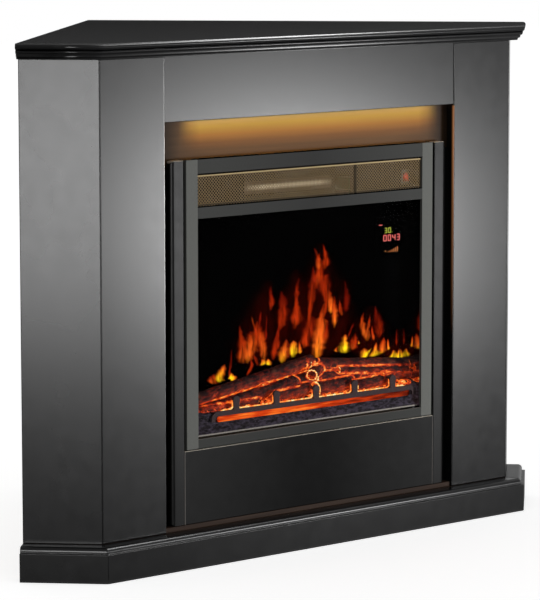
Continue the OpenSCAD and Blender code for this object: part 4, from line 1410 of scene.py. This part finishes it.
# each flame: its warmth, then its path from foot to tip as x, z and width
FLAMES = (
    (0.95, (-170, 311, 12), (-168, 320, 16), (-161, 332, 11), (-155, 344, 2)),
    (0.9, (-143, 315, 16), (-132, 317, 14), (-130, 320, 2)),
    (0.95, (-141, 314, 12), (-141, 322, 7), (-142, 327, 2)),
    (0.85, (-62, 333, 14), (-64, 340, 8), (-67, 344, 2)),
    (0.9, (-54, 332, 18), (-52, 339, 9), (-52, 344, 2)),
    (0.78, (-19, 332, 11), (-15, 346, 17), (-10, 361, 15), (-7, 376, 3)),
    (0.93, (10, 340, 11), (10, 354, 16), (11, 367, 11), (11, 373, 2)),
    (0.75, (26, 345, 5), (26, 357, 8), (24, 370, 2)),
    (0.97, (135, 336, 24), (137, 350, 19), (138, 364, 13), (139, 372, 3)),
    (1.0, (195, 322, 28), (188, 331, 19), (187, 341, 4)),
    (0.9, (217, 322, 26), (216, 334, 11), (218, 349, 2)),
    (0.97, (265, 313, 24), (264, 324, 10), (262, 330, 3)),
    (0.95, (276, 309, 16), (279, 322, 10), (281, 333, 2)),
    (0.85, (175, 350, 6), (174, 357, 2)),
    (0.55, (-186, 310, 20), (-183, 320, 13), (-180, 329, 2)),
    (0.3, (-145, 316, 6), (-142, 342, 4), (-139, 370, 2)),
    (0.55, (-115, 341, 20), (-112, 361, 21), (-115, 386, 12), (-121, 412, 2)),
    (0.62, (-103, 340, 14), (-98, 360, 21), (-88, 378, 26), (-79, 395, 21), (-78, 417, 3)),
    (0.6, (-62, 339, 10), (-63, 361, 13), (-68, 382, 18), (-77, 395, 18), (-81, 408, 4)),
    (0.4, (-104, 317, 5), (-92, 334, 6), (-94, 350, 3)),
    (0.4, (-76, 333, 4), (-82, 346, 5), (-88, 356, 2)),
    (0.22, (-74, 404, 4), (-71, 420, 5), (-69, 438, 2)),
    (0.32, (-45, 433, 7), (-43, 451, 10), (-46, 467, 6), (-47, 480, 2)),
    (0.25, (-58, 378, 4), (-56, 400, 4), (-54, 427, 2)),
    (0.36, (-40, 340, 14), (-35, 363, 12), (-28, 391, 6), (-24, 412, 2)),
    (0.36, (-24, 394, 11), (-16, 421, 19), (-16, 446, 15), (-20, 468, 3)),
    (0.42, (13, 392, 12), (18, 418, 20), (18, 443, 11), (19, 468, 9), (22, 490, 2)),
    (0.36, (-3, 340, 11), (-1, 360, 6), (-4, 373, 2)),
    (0.36, (-27, 359, 10), (-32, 375, 9), (-30, 391, 3)),
    (0.45, (34, 354, 6), (40, 369, 16), (48, 387, 22), (57, 414, 14)),
    (0.4, (46, 390, 12), (52, 434, 9), (58, 465, 19), (61, 486, 14), (58, 509, 3)),
    (0.68, (67, 324, 15), (70, 350, 22), (77, 381, 27), (79, 403, 19), (83, 422, 9), (85, 437, 2)),
    (0.38, (85, 364, 11), (91, 383, 10), (93, 399, 3)),
    (0.42, (83, 406, 7), (92, 437, 11), (87, 466, 22), (78, 488, 19), (76, 504, 10)),
    (0.45, (66, 470, 12), (74, 495, 15), (73, 514, 12), (68, 530, 6), (61, 543, 2)),
    (0.6, (73, 501, 8), (71, 517, 11), (73, 533, 2)),
    (0.42, (86, 500, 10), (90, 519, 12), (87, 535, 7), (84, 550, 2)),
    (0.66, (102, 414, 6), (102, 430, 13), (98, 449, 11), (96, 463, 2)),
    (0.64, (111, 386, 7), (112, 410, 11), (112, 429, 10), (111, 448, 2)),
    (0.5, (130, 408, 5), (126, 423, 7), (125, 439, 2)),
    (0.18, (140, 414, 10), (142, 439, 11), (138, 474, 2)),
    (0.62, (190, 361, 10), (183, 381, 12), (182, 397, 7), (185, 410, 2)),
    (0.62, (194, 353, 8), (195, 370, 11), (199, 388, 6), (202, 405, 2)),
    (0.5, (212, 353, 6), (208, 369, 6), (206, 382, 2)),
    (0.32, (224, 355, 9), (225, 377, 18), (219, 400, 11), (215, 420, 2)),
    (0.52, (155, 340, 9), (160, 354, 14), (163, 373, 2)),
    (0.3, (145, 365, 5), (154, 380, 5), (160, 393, 2)),
    (0.66, (234, 326, 13), (235, 341, 15), (238, 357, 3)),
    (0.72, (250, 331, 8), (248, 343, 5), (247, 353, 2)),
    (0.3, (271, 337, 5), (270, 354, 4), (271, 370, 2)),
    (0.3, (295, 312, 5), (297, 328, 4), (299, 351, 2)),
    (0.62, (310, 311, 14), (313, 319, 13), (320, 326, 3)),
    (0.7, (114, 341, 10), (118, 350, 2)),
    (0.5, (-92, 428, 3), (-83, 399, 4), (-76, 373, 3)),
)
# the dim haze behind the flames, in the same form
FLAME_HAZE = (
    (0.1, (-84, 330, 97), (-76, 383, 81), (-64, 444, 48), (-48, 492, 12)),
    (0.1, (1, 332, 107), (9, 394, 99), (17, 462, 57), (17, 506, 12)),
    (0.12, (71, 325, 100), (74, 394, 92), (78, 482, 62), (78, 551, 16)),
    (0.07, (124, 335, 67), (128, 402, 50), (136, 477, 17)),
    (0.1, (192, 319, 111), (200, 363, 86), (212, 420, 26)),
    (0.09, (282, 307, 114), (282, 336, 70), (281, 369, 17)),
)


def smooth_path(points, steps=6):
    """A curve through the points, each given as x, z and width."""
    line = [Vector(point) for point in points]
    line = [2 * line[0] - line[1], *line, 2 * line[-1] - line[-2]]
    path = []
    for a, b, c, d in zip(line, line[1:], line[2:], line[3:]):
        for step in range(steps):
            t = step / steps
            bend = (2 * a - 5 * b + 4 * c - d) * t * t + (3 * b - a - 3 * c + d) * t**3
            path.append(0.5 * (2 * b + (c - a) * t + bend))
    path.append(line[-2])
    return path


def tongue(points, warmth, depth, strength, rim_power, seed):
    """One flame as a soft-edged ribbon: points, faces, warmth and how far it has thinned out."""
    across = 10
    path = smooth_path(points)
    count = len(path) - 1
    verts = []
    heats = []
    fades = []
    for i, place in enumerate(path):
        t = i / count
        ahead = path[min(i + 1, count)] - path[max(i - 1, 0)]
        side = Vector((ahead.y, -ahead.x, 0)).normalized()
        flutter = noise.noise(Vector((place.y / 14, seed * 3.7, 0)))
        ragged = noise.noise(Vector((place.y / 5.5, seed * 2.3, 4.0)))
        half = 0.95 * max(0.6, place.z) * (1 + 0.3 * flutter + 0.5 * ragged) * min(1.0, 0.5 + t / 0.3)
        for j in range(across + 1):
            s = 2 * j / across - 1
            x = place.x + s * half * side.x + 1.2 * flutter + 1.6 * t * ragged
            verts.append(mm((held(x, -278, 278), depth, place.y + s * half * side.y)))
            rim = 1 - s * s
            foot = min(1.0, 0.05 + t / 0.22)
            tip = min(1.0, 0.25 + (1 - t) / 0.4)
            fades.append(strength * rim**rim_power * foot * tip)
            heats.append(held(warmth * (0.70 + 0.36 * rim) * (1.12 - 0.56 * t)))
    faces = []
    for i in range(count):
        for j in range(across):
            a = i * (across + 1) + j
            faces.append((a, a + 1, a + across + 2, a + across + 1))
    return verts, faces, heats, fades


def flames():
    """Tongues of light on the screen over a dim red haze."""
    verts = []
    faces = []
    heats = []
    fades = []
    sheets = [(warmth, points, 0.15, 3.4) for warmth, *points in FLAME_HAZE]
    sheets += [(warmth, points, 1.0, 2.7) for warmth, *points in FLAMES]
    for index, (warmth, points, strength, rim_power) in enumerate(sheets):
        depth = 73.7 - 0.022 * index
        more, rings, warm, thin = tongue(points, warmth, depth, strength, rim_power, index)
        faces += [tuple(i + len(verts) for i in ring) for ring in rings]
        verts += more
        heats += warm
        fades += thin
    mesh = shaped("flame_tongues", verts, faces, warmth=heats, thinning=fades)
    new_piece("flame_tongues", mesh, "smoked_screen", "mantel", finish_name="flame_light")


def side_linings():
    """Mirrored linings of the casing's sides, which carry the logs and flames on to both sides."""
    for side, sign in (("left", -1), ("right", 1)):
        inner, outer = sorted((279.3 * sign, 279.6 * sign))
        name = "side_mirror_" + side
        mirror = box_mesh(name, at(inner, 15.2, 231), at(outer, 73.5, 636.5))
        new_piece(name, mirror, "smoked_screen", "mantel", finish_name="side_mirror")


# ---- the display

# the bars of a figure that are lit
SEGMENTS = {
    "0": "abcdef",
    "1": "bc",
    "2": "abged",
    "3": "abgcd",
    "4": "fgbc",
    "5": "afgcd",
    "6": "afgedc",
    "7": "abc",
    "8": "abcdefg",
    "9": "abfgcd",
}


def bar_faces(start, end, thick, depth):
    """A segment of a digit: a flat six-sided bar with pointed ends."""
    a = Vector(start)
    b = Vector(end)
    ahead = (b - a).normalized()
    side = Vector((-ahead.y, ahead.x)) * thick / 2
    point = ahead * thick / 2
    ring = [a, a + side + point, b + side - point, b, b - side - point, a - side + point]
    front = [(p.x, depth, p.y) for p in ring]
    back = [(p.x, depth + 0.35, p.y) for p in ring]
    return front, back


def digit_mesh(name, strokes, depth=14.85):
    verts = []
    faces = []
    for start, end, thick in strokes:
        front, back = bar_faces(start, end, thick, depth)
        first = len(verts)
        verts += [mm(v) for v in front + back]
        faces.append(tuple(range(first, first + 6)))
        faces.append(tuple(range(first + 11, first + 5, -1)))
        for i in range(6):
            k = (i + 1) % 6
            faces.append((first + i, first + 6 + i, first + 6 + k, first + k))
    mesh = shaped(name, verts, faces)
    mesh.shade_flat()
    return mesh


def digit_strokes(text, x, z, width, height, pitch, thick):
    strokes = []
    for index, letter in enumerate(text):
        left = x + index * pitch
        right = left + width
        low = z
        high = z + height
        mid = z + height / 2
        lines = {
            "a": ((left, high), (right, high)),
            "b": ((right, mid), (right, high)),
            "c": ((right, low), (right, mid)),
            "d": ((left, low), (right, low)),
            "e": ((left, low), (left, mid)),
            "f": ((left, mid), (left, high)),
            "g": ((left, mid), (right, mid)),
        }
        strokes += [(*lines[part], thick) for part in SEGMENTS[letter]]
    return strokes


def display():
    """Lit figures behind the glass: the clock, the warmth and the level."""
    for name, thick, depth, light in (
        ("display_clock", 1.8, 14.95, "red_digits"),
        ("display_clock_cores", 0.5, 14.6, "red_digit_cores"),
    ):
        red = digit_strokes("0043", 184.0, 552.3, 6.4, 10.6, 11.2, thick)
        red.append(((171.6, 582.9), (180.6, 582.9), thick))
        new_piece(name, digit_mesh(name, red, depth), "display_black", "mantel", finish_name=light)
    green = digit_strokes("30", 186.6, 567.4, 5.4, 9.0, 9.6, 0.95)
    green.append(((204.6, 568.4), (206.0, 568.4), 1.3))
    figures = digit_mesh("display_warmth", green)
    new_piece("display_warmth", figures, "display_black", "mantel", finish_name="green_digits")
    amber = [((187.4, 532.6), (190.2, 532.6), 3.0)]
    for step in range(6):
        x = 195.6 + 4.7 * step
        amber.append(((x, 530.0), (x, 531.4 + 1.7 * step), 1.15))
    bars = digit_mesh("display_level", amber)
    new_piece("display_level", bars, "display_black", "mantel", finish_name="amber_digits")


mantel_boards()
fire_frame()
lower_seal()
niche_glow()
perforated_sheets()
vent_gauze()
logs()
ember_edges()
slot_glow()
coals()
flames()
side_linings()
display()
edge_lamps()
